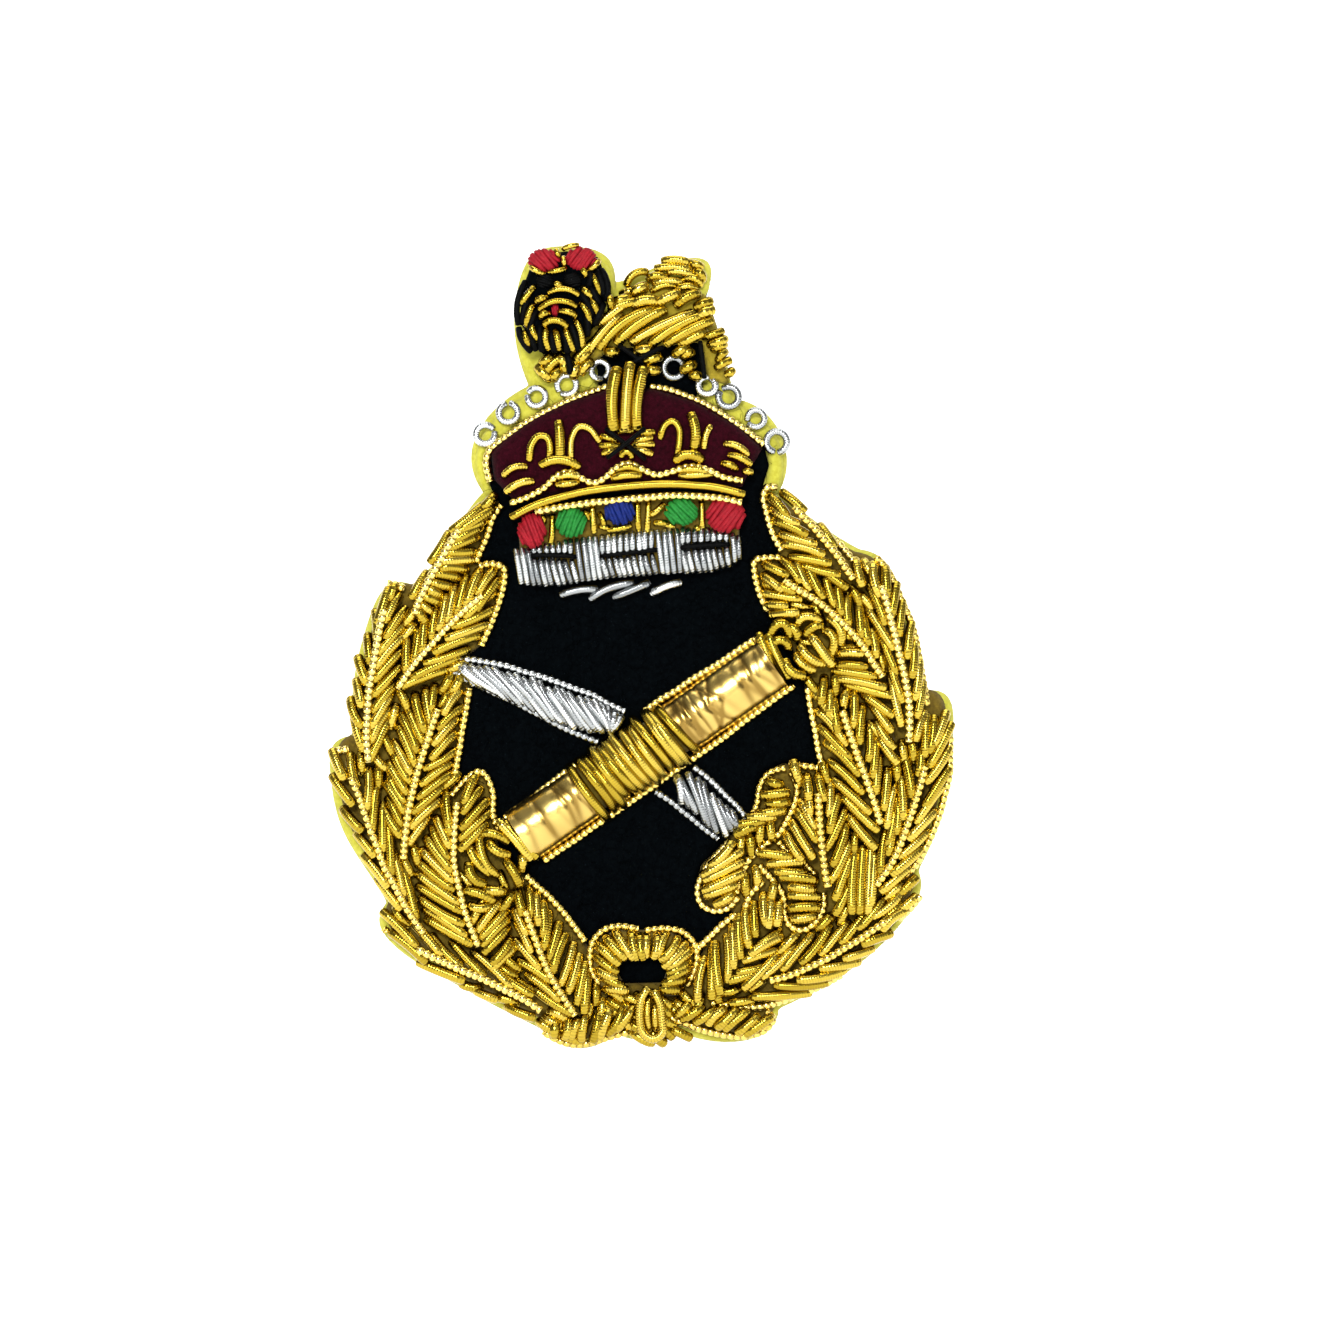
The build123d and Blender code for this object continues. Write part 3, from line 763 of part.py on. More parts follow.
def make_circlet():
    shares = (0, 0.25, 0.5, 0.75, 1)
    low_line = [along(ERMINE_BOTTOM, share) for share in shares]
    high_line = [along(CIRCLET_TOP, share) for share in shares]
    save(slab(polygon(high_line + low_line[::-1]), GROUND_TOP, PAD_TOP), "circlet_pad")
    save(purls(CIRCLET_PURLS, FINE_PURL_R, PAD_TOP + FINE_PURL_R, FLAT_LIFT), "circlet_purl")
    for node, jewels in JEWELS.items():
        domes = [dome(*jewel, PAD_TOP, JEWEL_HEIGHT) for jewel in jewels]
        save(Compound(children=domes), node)
    save(purls(ermine_rows(), SILVER_R, PAD_TOP + SILVER_R, HIGH_LIFT), "ermine_purl")
    save(purls(FRINGE, PURL_R, GROUND_TOP + PURL_R), "ermine_fringe")


# ================================================================ lion
def make_lion():
    save(slab(polygon(LION_BODY), GROUND_TOP, LION_BODY_TOP), "lion_pad")
    save(pillow(LION_HEAD, GROUND_TOP, LION_HEAD_TOP, HEAD_PAD_INSET), "lion_head_pad")
    body = [purl(row, LION_PURL_R, LION_BODY_TOP + LION_PURL_R, HIGH_LIFT) for row in LION_PURLS]
    body += [purl(row, FINE_PURL_R, LION_BODY_TOP + FINE_PURL_R, HIGH_LIFT) for row in LEG_PURLS]
    body += [purl(row, FINE_PURL_R, GROUND_TOP + FINE_PURL_R) for row in TAIL_PURLS]
    save(Compound(children=body), "lion_body_purl")
    save(purls(MANE_PURLS, MANE_PURL_R, LION_HEAD_TOP), "lion_mane_purl")
    save(purls(MANE_THREADS, MANE_THREAD_R, LION_HEAD_TOP - MANE_SINK), "lion_mane_threads")
    face = [purl(row, FACE_PURL_R, LION_HEAD_TOP + FACE_PURL_R) for row in FACE_PURLS]
    face += [purl(row, MANE_PURL_R, LION_HEAD_TOP + MANE_PURL_R - MANE_SINK) for row in HEAD_CAP_PURLS]
    save(Compound(children=face), "lion_face_purl")
    eye_seat = LION_HEAD_TOP - EYE_SINK
    save(Compound(children=[dome(*eye, eye_seat, EYE_HEIGHT) for eye in EYES]), "lion_eyes")
    save(dome(*MOUTH, eye_seat, EYE_HEIGHT), "lion_mouth")
    cap_seat = LION_HEAD_TOP - HEAD_CAP_SINK
    save(Compound(children=[dome(*patch, cap_seat, HEAD_CAP_HEIGHT) for patch in HEAD_CAP]), "lion_cap")


# ================================================================ sword and baton
def make_sword():
    rows = [row for inner, outer in BLADE_FANS for row in fan_rows(inner, outer, BLADE_PITCH, BLADE_LEAN)]
    save(purls(rows, SWORD_PURL_R, PAD_TOP, HIGH_LIFT), "sword_blade_purl")
    save(couched_group(BLADE_EDGES, GROUND_TOP + PEARL_R), "sword_edging")
    rows = [row for inner, outer in HILT_FANS for row in fan_rows(inner, outer)]
    save(purls(rows, SWORD_PURL_R, PAD_TOP), "hilt_purl")


def baton_frame(share, across):
    """A flat point beside the baton's axis: a share along it, and a distance across to the left."""
    (u0, v0), (u1, v1) = BATON_AXIS
    length = math.dist(*BATON_AXIS)
    return (u0 + (u1 - u0) * share - (v1 - v0) / length * across,
            v0 + (v1 - v0) * share + (u1 - u0) / length * across)


def half_round(start, end, thickness=0.0):
    """Half of an oval bar on the ground cloth along the baton's axis, or a shell of a thickness over it."""
    foot, head = (at(baton_frame(share, 0), GROUND_TOP) for share in (start, end))
    axis = Plane(origin=foot, x_dir=(0, -1, 0), z_dir=head - foot)
    section = Ellipse(BATON_RISE + thickness, BATON_HALF_WIDTH + thickness)
    if thickness:
        section -= Ellipse(BATON_RISE, BATON_HALF_WIDTH)
    half = Pos(BATON_RISE, 0) * Rectangle(2 * BATON_RISE, 4 * BATON_HALF_WIDTH)
    return extrude(axis * (section & half), amount=(head - foot).length)


def make_baton():
    start, end = BATON_SLEEVE
    save(half_round(0, 1), "baton_core")
    plates = [half_round(a, b, PLATE_THICKNESS) for a, b in ((0, start), (end, 1))]
    save(Compound(children=plates), "baton_plates")
    rows = []
    count = round((end - start) * math.dist(*BATON_AXIS) / (2 * PURL_R)) + 1
    for i in range(count):
        share = start + (end - start) * i / (count - 1)
        rows.append((baton_frame(share - SLEEVE_SLANT, SLEEVE_HALF), baton_frame(share, 0),
                     baton_frame(share + SLEEVE_SLANT, -SLEEVE_HALF)))
    sleeve = [purl(row, PURL_R, GROUND_TOP + PURL_R, BATON_RISE) for row in rows]
    ends = [purl(row, PURL_R, PAD_TOP + BATON_END_RAISE) for row in BATON_END_PURLS]
    save(Compound(children=sleeve + ends), "baton_purl")
    save(couched_group(BATON_EDGES + HILT_EDGES, GROUND_TOP + PEARL_R), "gold_edging")


make_layers()
make_wreath()
make_bow()
make_crown()
make_circlet()
make_lion()
make_sword()
make_baton()
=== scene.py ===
import math

import bpy
import numpy as np
from mathutils.geometry import delaunay_2d_cdt
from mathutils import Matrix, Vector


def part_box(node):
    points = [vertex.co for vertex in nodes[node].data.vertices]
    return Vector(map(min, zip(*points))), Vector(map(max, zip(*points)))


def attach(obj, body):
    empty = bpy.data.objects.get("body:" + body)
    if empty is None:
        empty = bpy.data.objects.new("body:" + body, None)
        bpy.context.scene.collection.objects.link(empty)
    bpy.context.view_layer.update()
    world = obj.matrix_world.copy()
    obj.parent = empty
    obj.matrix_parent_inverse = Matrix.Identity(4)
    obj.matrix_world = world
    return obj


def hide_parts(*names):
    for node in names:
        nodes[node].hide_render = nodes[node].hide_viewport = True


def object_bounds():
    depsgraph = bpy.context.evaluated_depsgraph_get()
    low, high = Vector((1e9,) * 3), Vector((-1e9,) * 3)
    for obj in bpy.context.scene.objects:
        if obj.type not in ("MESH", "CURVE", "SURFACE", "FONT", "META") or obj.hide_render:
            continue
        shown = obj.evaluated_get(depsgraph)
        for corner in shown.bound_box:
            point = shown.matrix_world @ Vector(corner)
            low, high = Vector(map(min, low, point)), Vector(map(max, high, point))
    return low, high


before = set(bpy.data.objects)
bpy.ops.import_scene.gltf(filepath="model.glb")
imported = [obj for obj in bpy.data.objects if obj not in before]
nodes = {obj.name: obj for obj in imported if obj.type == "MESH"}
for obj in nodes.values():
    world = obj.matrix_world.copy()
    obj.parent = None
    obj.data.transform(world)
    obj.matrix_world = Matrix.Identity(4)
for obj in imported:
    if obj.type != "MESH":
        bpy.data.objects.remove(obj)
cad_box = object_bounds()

MM = 0.001
rng = np.random.default_rng(11)
UP = np.array([0.0, -1.0, 0.0])         # away from the badge's back, towards whoever looks at it

# ---------------------------------------------------------------- the sewn work
PURL_COIL = 0.24 * MM                   # one turn of the smooth purl
PURL_DEPTH = 0.05 * MM
PEARL_BEAD = 0.64 * MM                  # one bead of the pearl purl
PEARL_DEPTH = 0.20 * MM
PEARL_STOUT = 1.15                      # beads thicker than the CAD's plain wire
BEAD_SKEW = 0.12                        # the lean of a bead, in turns
BEAD_DRIFT = 0.04 * MM                  # how far a couched line of beads strays
BEAD_DRIFT_GRAIN = 30                   # steps from one stray to the next
FLOSS_TWIST = 1.1 * MM
FLOSS_DEPTH = 0.035 * MM
FLOSS_STRANDS = 3
STOUT = 1.18                            # coils thicker than the CAD's wires, so that no gap shows
LOOSEN = 0.13 * MM                      # how far the ends of a cut purl stray
BOW_SHARE = 0.7                         # its middle strays this much of that
LIFT_SHARE = 0.5                        # and its height this much
GIRTH_SPREAD = 0.04                     # how much purls differ in thickness
TUCK = 0.22 * MM                        # how far a purl's cut ends sink into the cloth
TUCK_LENGTH = 0.7 * MM
UPPER_FROM = 14 * MM                    # the felt under the wreath shows its own yellow above this; below it is painted dark amber as shade
UPPER_FADE = 1 * MM

# ---------------------------------------------------------------- cloth
HAIR_RADIUS = 0.018 * MM
HAIR_SINK = 0.01 * MM
HAIR_LEAN = (0.1, 0.5)                  # least and most rise of a hair, against its length
HAIR_SIZES = (0.5, 1.4)                 # shortest and longest, against the usual length
HAIR_BEND = 1.2                         # how far hairs curl, in radians
HAIR_POINTS = 5

# ---------------------------------------------------------------- reading meshes
LEVEL = 1e-6                            # vertices this close in height lie in one flat face
SAME_PLACE = 1e7                        # places equal when rounded to a metre over this
FLAT_SPREAD = 0.01                      # normals within this of each other face one way
STATION_GAP = 0.03                      # middles this close, in radii, belong to one ring
RING_SHARE = 4                          # a ring has over one in this of the fullest's vertices


# ================================================================ reading the frame
def mesh_arrays(me):
    """A CAD mesh as arrays: places, one normal per vertex, edges."""
    co = np.zeros(len(me.vertices) * 3, np.float32)
    me.vertices.foreach_get("co", co)
    corner = np.zeros(len(me.loops) * 3, np.float32)
    me.corner_normals.foreach_get("vector", corner)
    index = np.zeros(len(me.loops), np.int32)
    me.loops.foreach_get("vertex_index", index)
    edges = np.zeros(len(me.edges) * 2, np.int32)
    me.edges.foreach_get("vertices", edges)
    normals = np.zeros((len(me.vertices), 3))
    normals[index] = corner.reshape(-1, 3)
    return co.reshape(-1, 3).astype(float), normals, edges.reshape(-1, 2)


def groups(count, pairs):
    """A label for each of count things, the same for things that pairs join."""
    label = np.arange(count)
    while len(pairs):
        low = np.minimum(label[pairs[:, 0]], label[pairs[:, 1]])
        before = label.copy()
        np.minimum.at(label, pairs[:, 0], low)
        np.minimum.at(label, pairs[:, 1], low)
        np.minimum.at(label, before[pairs[:, 0]], low)
        np.minimum.at(label, before[pairs[:, 1]], low)
        label = label[label]
        if np.array_equal(label, before):
            break
    return label


def welds(co):
    """Pairs of vertices that lie at one place."""
    key = np.round(co * SAME_PLACE).astype(np.int64)
    _, first, inverse = np.unique(key, axis=0, return_index=True, return_inverse=True)
    inverse = inverse.reshape(-1)
    pairs = np.stack([np.arange(len(co)), first[inverse]], 1)
    return pairs[pairs[:, 0] != pairs[:, 1]]


def solids(node):
    """The separate solids of a CAD node: (places, normals, edges, welds, face labels) of each."""
    co, normals, edges = mesh_arrays(nodes[node].data)
    same = welds(co)
    faces = groups(len(co), edges)
    whole = groups(len(co), np.concatenate([edges, same]))
    found = []
    for label in np.unique(whole):
        pick = np.nonzero(whole == label)[0]
        place = np.full(len(co), -1)
        place[pick] = np.arange(len(pick))
        local = place[edges]
        local = local[(local >= 0).all(1)]
        joined = place[same]
        joined = joined[(joined >= 0).all(1)]
        found.append((co[pick], normals[pick], local, joined, faces[pick]))
    return found


def wire_of(solid):
    """The centreline, from end to end, and the radius of one swept wire."""
    co, normals, edges, joined, faces = solid
    ends = []
    radius = 0
    side = np.ones(len(co), bool)
    for label in np.unique(faces):
        pick = faces == label
        if np.ptp(normals[pick], axis=0).max() < FLAT_SPREAD:
            middle = co[pick].mean(0)
            radius = np.linalg.norm(co[pick] - middle, axis=1).max()
            ends.append(middle)
            side[pick] = False
    inner = co - normals * radius
    pairs = np.concatenate([edges, joined])
    pairs = pairs[side[pairs].all(1)]
    gap = np.linalg.norm(inner[pairs[:, 0]] - inner[pairs[:, 1]], axis=1)
    close = gap < STATION_GAP * radius
    station = groups(len(co), pairs[close])
    links = station[pairs[~close]]
    names, back, size = np.unique(station[side], return_inverse=True, return_counts=True)
    total = np.zeros((len(names), 3))
    np.add.at(total, back.reshape(-1), inner[side])
    centres = total / size[:, None]
    whole = size > size.max() / RING_SHARE
    names, centres = names[whole], centres[whole]
    beside = {name: set() for name in names}
    for a, b in links:
        if a != b and a in beside and b in beside:
            beside[a].add(b)
            beside[b].add(a)
    where = {name: i for i, name in enumerate(names)}
    here = names[np.linalg.norm(centres - ends[0], axis=1).argmin()]
    route = []
    left = set(names)
    while here is not None:
        route.append(centres[where[here]])
        left.discard(here)
        near = [n for n in beside[here] if n in left]
        here = min(near, key=lambda n: np.linalg.norm(centres[where[n]] - route[-1]), default=None)
    return np.array(route), radius


def wires(node):
    return [wire_of(solid) for solid in solids(node)]


# ================================================================ small tools
def resample(points, step):
    """The same line with places a step apart, and how far along each is."""
    run = np.concatenate([[0], np.cumsum(np.linalg.norm(np.diff(points, axis=0), axis=1))])
    count = max(4, int(round(run[-1] / step)) + 1)
    far = np.linspace(0, run[-1], count)
    return np.stack([np.interp(far, run, points[:, k]) for k in range(3)], 1), far


def smooth(points, times):
    """The line with its kinks eased, its ends kept."""
    points = points.copy()
    for _ in range(times):
        points[1:-1] = (points[:-2] + 2 * points[1:-1] + points[2:]) / 4
    return points


def wander(count, size, grain):
    """A slow random drift along a line."""
    knots = rng.normal(0, size, max(4, count // grain + 3))
    return np.interp(np.linspace(0, len(knots) - 1, count), np.arange(len(knots)), knots)


class Soup:
    """Vertices, faces and per-vertex values gathered for one piece."""

    def __init__(self):
        self.co, self.faces, self.tone, self.groove, self.count = [], [], [], [], 0

    def add(self, co, faces, tone, groove):
        self.co.append(co)
        for block in faces:
            if isinstance(block, np.ndarray):
                self.faces.append((block + self.count).tolist())
            else:
                self.faces.append([[int(v) + self.count for v in face] for face in block])
        self.tone.append(np.broadcast_to(tone, len(co)))
        self.groove.append(np.broadcast_to(groove, len(co)))
        self.count += len(co)

    def build(self, name, material):
        me = bpy.data.meshes.new(name)
        faces = [f for block in self.faces for f in block]
        me.from_pydata(np.concatenate(self.co).tolist(), [], faces)
        # tone is a random colour per piece; the second value is painted shade between turns and in
        # creases
        for key, values in (("tone", self.tone), ("groove", self.groove)):
            layer = me.attributes.new(key, "FLOAT", "POINT")
            layer.data.foreach_set("value", np.concatenate(values).astype(np.float32))
        me.polygons.foreach_set("use_smooth", [True] * len(me.polygons))
        me.materials.append(material)
        me.validate()
        obj = bpy.data.objects.new(name, me)
        bpy.context.scene.collection.objects.link(obj)
        return obj


def ring_quads(rings, sides):
    """The faces between neighbouring rings of vertices."""
    i = np.arange(rings - 1)[:, None] * sides
    j = np.arange(sides)[None, :]
    k = (j + 1) % sides
    return np.stack([i + j, i + k, i + sides + k, i + sides + j], -1).reshape(-1, 4)


def tube(soup, points, far, radius, sides, ridge, tone):
    """A tube along points whose surface is shaped by ridge(far, angle) -> (inset, amount of painted
    shade).
    """
    ahead = np.gradient(points, axis=0)
    ahead /= np.linalg.norm(ahead, axis=1)[:, None]
    across = np.cross(ahead, UP)
    across /= np.linalg.norm(across, axis=1)[:, None]
    above = np.cross(across, ahead)
    angle = np.linspace(0, 2 * math.pi, sides, endpoint=False)
    inset, groove = ridge(far[:, None], angle[None, :])
    reach = radius - inset
    rings = (points[:, None] + across[:, None] * (reach * np.cos(angle))[..., None]
             + above[:, None] * (reach * np.sin(angle))[..., None])
    count = len(points)
    first = list(range(sides))
    last = list(range(count * sides - 1, (count - 1) * sides - 1, -1))
    soup.add(rings.reshape(-1, 3), [ring_quads(count, sides)[:, ::-1], [first], [last]], tone,
             np.broadcast_to(groove, (count, sides)).reshape(-1))


def plain_ridge(far, angle):
    """A smooth surface."""
    return 0 * far, 0.0


def coil_ridge(pitch, depth, start):
    """The turns of a tight coil of round wire."""
    def ridge(far, angle):
        turn = (far / pitch + angle / (2 * math.pi) + start) % 1
        swell = np.sqrt(np.maximum(0, 1 - (2 * turn - 1) ** 2))
        # the second value is painted shade between the turns
        return depth * (1 - swell), (1 - swell) ** 2
    return ridge


def bead_ridge(pitch, depth, start):
    """The open turns of pearl purl, which look like a string of beads."""
    def ridge(far, angle):
        turn = (far / pitch + start + BEAD_SKEW * np.sin(angle)) % 1
        swell = np.sqrt(np.maximum(0, 1 - np.abs(2 * turn - 1) ** 2.6))
        # the second value is painted shade between the beads
        return depth * (1 - swell), (1 - swell) ** 1.3
    return ridge


def floss_ridge(pitch, depth, start):
    """The strands of a twisted thread."""
    def ridge(far, angle):
        turn = (FLOSS_STRANDS * angle / (2 * math.pi) + far / pitch + start) % 1
        swell = np.sqrt(np.maximum(0, 1 - (2 * turn - 1) ** 2))
        # the second value is painted shade between the strands
        return depth * (1 - swell), (1 - swell)
    return ridge


# ================================================================ materials
def new_material(name):
    material = bpy.data.materials.new(name)
    material.use_nodes = True
    tree = material.node_tree
    shader = tree.nodes["Principled BSDF"]
    return material, tree, shader


def add_node(tree, kind, **values):
    node = tree.nodes.new(kind)
    for key, value in values.items():
        setattr(node, key, value)
    return node


def noise(tree, scale, detail=3.0, rough=0.55):
    """Noise over the object's own place, scale in features per millimetre."""
    where = add_node(tree, "ShaderNodeTexCoord")
    node = add_node(tree, "ShaderNodeTexNoise")
    node.inputs["Scale"].default_value = scale / MM
    node.inputs["Detail"].default_value = detail
    node.inputs["Roughness"].default_value = rough
    tree.links.new(where.outputs["Object"], node.inputs["Vector"])
    return node.outputs["Fac"]


def ramp(tree, source, stops):
    node = add_node(tree, "ShaderNodeValToRGB")
    band = node.color_ramp
    while len(band.elements) < len(stops):
        band.elements.new(0.5)
    for element, (place, colour) in zip(band.elements, stops):
        element.position = place
        element.color = (*colour, 1)
    tree.links.new(source, node.inputs["Fac"])
    return node.outputs["Color"]


def value_ramp(tree, source, low, high):
    node = add_node(tree, "ShaderNodeMapRange")
    node.inputs["To Min"].default_value = low
    node.inputs["To Max"].default_value = high
    tree.links.new(source, node.inputs["Value"])
    return node.outputs["Result"]


def mix(tree, kind, factor, first, second):
    node = add_node(tree, "ShaderNodeMix", data_type="RGBA", blend_type=kind)
    sockets = (node.inputs[0], node.inputs[6], node.inputs[7])
    for socket, value in zip(sockets, (factor, first, second)):
        if hasattr(value, "links"):
            tree.links.new(value, socket)
        else:
            socket.default_value = value
    return node.outputs[2]


def attribute(tree, name):
    return add_node(tree, "ShaderNodeAttribute", attribute_name=name).outputs["Fac"]


def bump(tree, shader, height, distance, strength):
    node = add_node(tree, "ShaderNodeBump")
    node.inputs["Strength"].default_value = strength
    node.inputs["Distance"].default_value = distance
    tree.links.new(height, node.inputs["Height"])
    tree.links.new(node.outputs["Normal"], shader.inputs["Normal"])


def metal(name, dark, middle, bright, shade, rough):
    """Plated wire: colour drifts from piece to piece, and painted shade darkens it between the turns and
    in creases.
    """
    material, tree, shader = new_material(name)
    shader.inputs["Metallic"].default_value = 1.0
    own = ramp(tree, attribute(tree, "tone"), [(0, dark), (0.5, middle), (1, bright)])
    patches = value_ramp(tree, noise(tree, 0.5), 0.0, 0.5)
    worn = mix(tree, "MULTIPLY", patches, own, (0.8, 0.72, 0.6, 1))
    # painted shade: the colour goes to the shade colour between the turns and in creases
    deep = mix(tree, "MIX", attribute(tree, "groove"), worn, (*shade, 1))
    tree.links.new(deep, shader.inputs["Base Color"])
    polish = value_ramp(tree, noise(tree, 1.7), rough - 0.07, rough + 0.09)
    tree.links.new(polish, shader.inputs["Roughness"])
    bump(tree, shader, noise(tree, 6.0), 0.01 * MM, 0.35)
    return material


def cloth(name, stops, grain, rough=0.9, sheen=0.25, height=0.06 * MM, upper=None, weave=0.0,
          shine=0.12):
    """Matted wool or spun thread: broken colour, soft sheen, a fine rough surface.

    upper gives other colours above UPPER_FROM; weave is the spacing of woven threads.
    """
    material, tree, shader = new_material(name)
    speckle = noise(tree, grain, 6.0, 0.7)
    colour = ramp(tree, speckle, stops)
    if upper:
        place = add_node(tree, "ShaderNodeSeparateXYZ")
        where = add_node(tree, "ShaderNodeTexCoord")
        tree.links.new(where.outputs["Object"], place.inputs["Vector"])
        above = add_node(tree, "ShaderNodeMapRange")
        above.inputs["From Min"].default_value = UPPER_FROM
        above.inputs["From Max"].default_value = UPPER_FROM + UPPER_FADE
        tree.links.new(place.outputs["Z"], above.inputs["Value"])
        colour = mix(tree, "MIX", above.outputs["Result"], colour, ramp(tree, speckle, upper))
    large = value_ramp(tree, noise(tree, grain / 9), 0.0, 0.6)
    colour = mix(tree, "MULTIPLY", large, colour, (0.72, 0.72, 0.72, 1))
    surface = noise(tree, grain * 1.4, 5.0, 0.7)
    if weave:
        for direction in ("X", "Z"):
            threads = add_node(tree, "ShaderNodeTexWave", bands_direction=direction)
            threads.inputs["Scale"].default_value = 0.31 / weave
            threads.inputs["Distortion"].default_value = 0.6
            where = add_node(tree, "ShaderNodeTexCoord")
            tree.links.new(where.outputs["Object"], threads.inputs["Vector"])
            surface = mix(tree, "MULTIPLY", 0.7, surface, threads.outputs["Color"])
            colour = mix(tree, "MULTIPLY", 0.35, colour, threads.outputs["Color"])
    tree.links.new(colour, shader.inputs["Base Color"])
    shader.inputs["Roughness"].default_value = rough
    shader.inputs["Specular IOR Level"].default_value = shine
    shader.inputs["Sheen Weight"].default_value = sheen
    shader.inputs["Sheen Roughness"].default_value = 0.5
    bump(tree, shader, surface, height, 0.8)
    return material


# the fourth colour of each metal is painted shade, laid between the turns and in creases
GOLD = metal("gold_wire", (0.31, 0.220, 0.018), (0.44, 0.325, 0.034), (0.60, 0.455, 0.078),
             (0.09, 0.046, 0.003), 0.16)
GOLD_BEAD = metal("gold_pearl_wire", (0.66, 0.49, 0.10), (0.80, 0.62, 0.16), (0.90, 0.73, 0.24),
                  (0.055, 0.028, 0.003), 0.20)
SILVER = metal("silver_wire", (0.22, 0.235, 0.245), (0.38, 0.405, 0.415), (0.62, 0.65, 0.66),
               (0.04, 0.046, 0.05), 0.22)
PLATE = metal("gilt_plate", (0.46, 0.33, 0.08), (0.60, 0.44, 0.12), (0.74, 0.56, 0.20),
              (0.13, 0.065, 0.008), 0.23)
LEMON = [(0.25, (0.32, 0.295, 0.020)), (0.75, (0.50, 0.48, 0.065))]
# yellow felt painted dark as shade, for felt that shows between the purls
SHADED_YELLOW = [(0.25, (0.045, 0.027, 0.002)), (0.75, (0.15, 0.10, 0.009))]
BLACK_FELT = cloth("black_wool", [(0.25, (0.0002, 0.0004, 0.0006)), (0.75, (0.0012, 0.0020, 0.0026))],
                   2.2, sheen=0.0, shine=0.01)
SHADED_YELLOW_FELT = cloth("amber_felt", SHADED_YELLOW, 1.8, sheen=0.1)
# painted shade below UPPER_FROM, the felt's own yellow above
WREATH_FELT = cloth("wreath_felt", SHADED_YELLOW, 1.8, sheen=0.1, upper=LEMON)
LION_FELT = cloth("lion_felt", [(0.25, (0.16, 0.11, 0.006)), (0.75, (0.32, 0.25, 0.02))], 1.8,
                  sheen=0.1)
YELLOW_FELT = cloth("yellow_felt", LEMON, 1.8)
LINING = cloth("black_cotton", [(0.3, (0.010, 0.010, 0.011)), (0.7, (0.035, 0.035, 0.037))], 3.0,
               sheen=0.1, weave=0.45 * MM)
BUCKRAM = cloth("grey_buckram", [(0.3, (0.24, 0.22, 0.18)), (0.7, (0.46, 0.43, 0.37))], 1.6,
                sheen=0.05, weave=0.7 * MM)
VELVET = cloth("maroon_velvet", [(0.3, (0.008, 0.0004, 0.0014)), (0.75, (0.030, 0.0014, 0.0055))],
               2.6, sheen=0.02, height=0.1 * MM, shine=0.03)
RED = cloth("red_thread", [(0.25, (0.14, 0.0025, 0.006)), (0.75, (0.32, 0.008, 0.017))],
            3.0, 0.55, 0.0)
GREEN = cloth("green_thread", [(0.25, (0.005, 0.085, 0.010)), (0.75, (0.018, 0.23, 0.034))],
              3.0, 0.55, 0.0)
BLUE = cloth("blue_thread", [(0.25, (0.002, 0.006, 0.055)), (0.75, (0.005, 0.019, 0.165))],
             3.0, 0.55, 0.0)
BLACK_THREAD = cloth("black_thread", [(0.25, (0.0004, 0.0005, 0.0005)), (0.75, (0.0022, 0.0025, 0.0025))],
                     3.0, 0.5, 0.0, shine=0.03)


# ================================================================ wire and thread
def settle(obj, node):
    """The piece rides on the badge's one body and takes the place of its CAD node."""
    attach(obj, "root")
    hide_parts(node)
    return obj


# Of each kind: the length and depth of a turn, the turn's shape, the steps to a turn, how often the
# line is eased, and how much thicker it is than the CAD's wire.
WIRE_KINDS = {
    "purl": (PURL_COIL, PURL_DEPTH, coil_ridge, 4, 6, 1.0),
    "pearl": (PEARL_BEAD, PEARL_DEPTH, bead_ridge, 9, 10, PEARL_STOUT),
    "floss": (FLOSS_TWIST, FLOSS_DEPTH, floss_ridge, 8, 10, 1.0),
}


def stray(fine, far, loosen):
    """Moves a cut purl a little off its place and tucks its two ends into the cloth."""
    share = far / far[-1]
    for axis in (0, 2):
        first, last, bow = rng.normal(0, loosen, 3)
        fine[:, axis] += (first * (1 - share) + last * share
                          + bow * 4 * share * (1 - share) * BOW_SHARE)
    fine[:, 1] -= rng.normal(0, loosen * LIFT_SHARE)
    near_end = np.minimum(far, far[-1] - far)
    fine[:, 1] += TUCK * np.clip(1 - near_end / TUCK_LENGTH, 0, 1) ** 2


def wirework(name, node, material, slot, kind="purl", sides=10, loosen=LOOSEN,
             tone_range=(0.1, 0.9), stout=1.0):
    """Every wire of a CAD node, as real coils, beads or twisted thread."""
    pitch, depth, maker, per_turn, easing, thicker = WIRE_KINDS[kind]
    soup = Soup()
    for points, radius in wires(node):
        fine, far = resample(points, pitch / per_turn)
        fine = smooth(fine, easing)
        if kind == "pearl":
            for axis in (0, 2):
                fine[:, axis] += wander(len(fine), BEAD_DRIFT, BEAD_DRIFT_GRAIN)
        else:
            stray(fine, far, loosen)
        girth = radius * stout * (1 + rng.normal(0, GIRTH_SPREAD)) * thicker
        tone = float(rng.uniform(*tone_range))
        tube(soup, fine, far, girth, sides, maker(pitch, depth, rng.random()), tone)
    settle(soup.build(name, material), node)


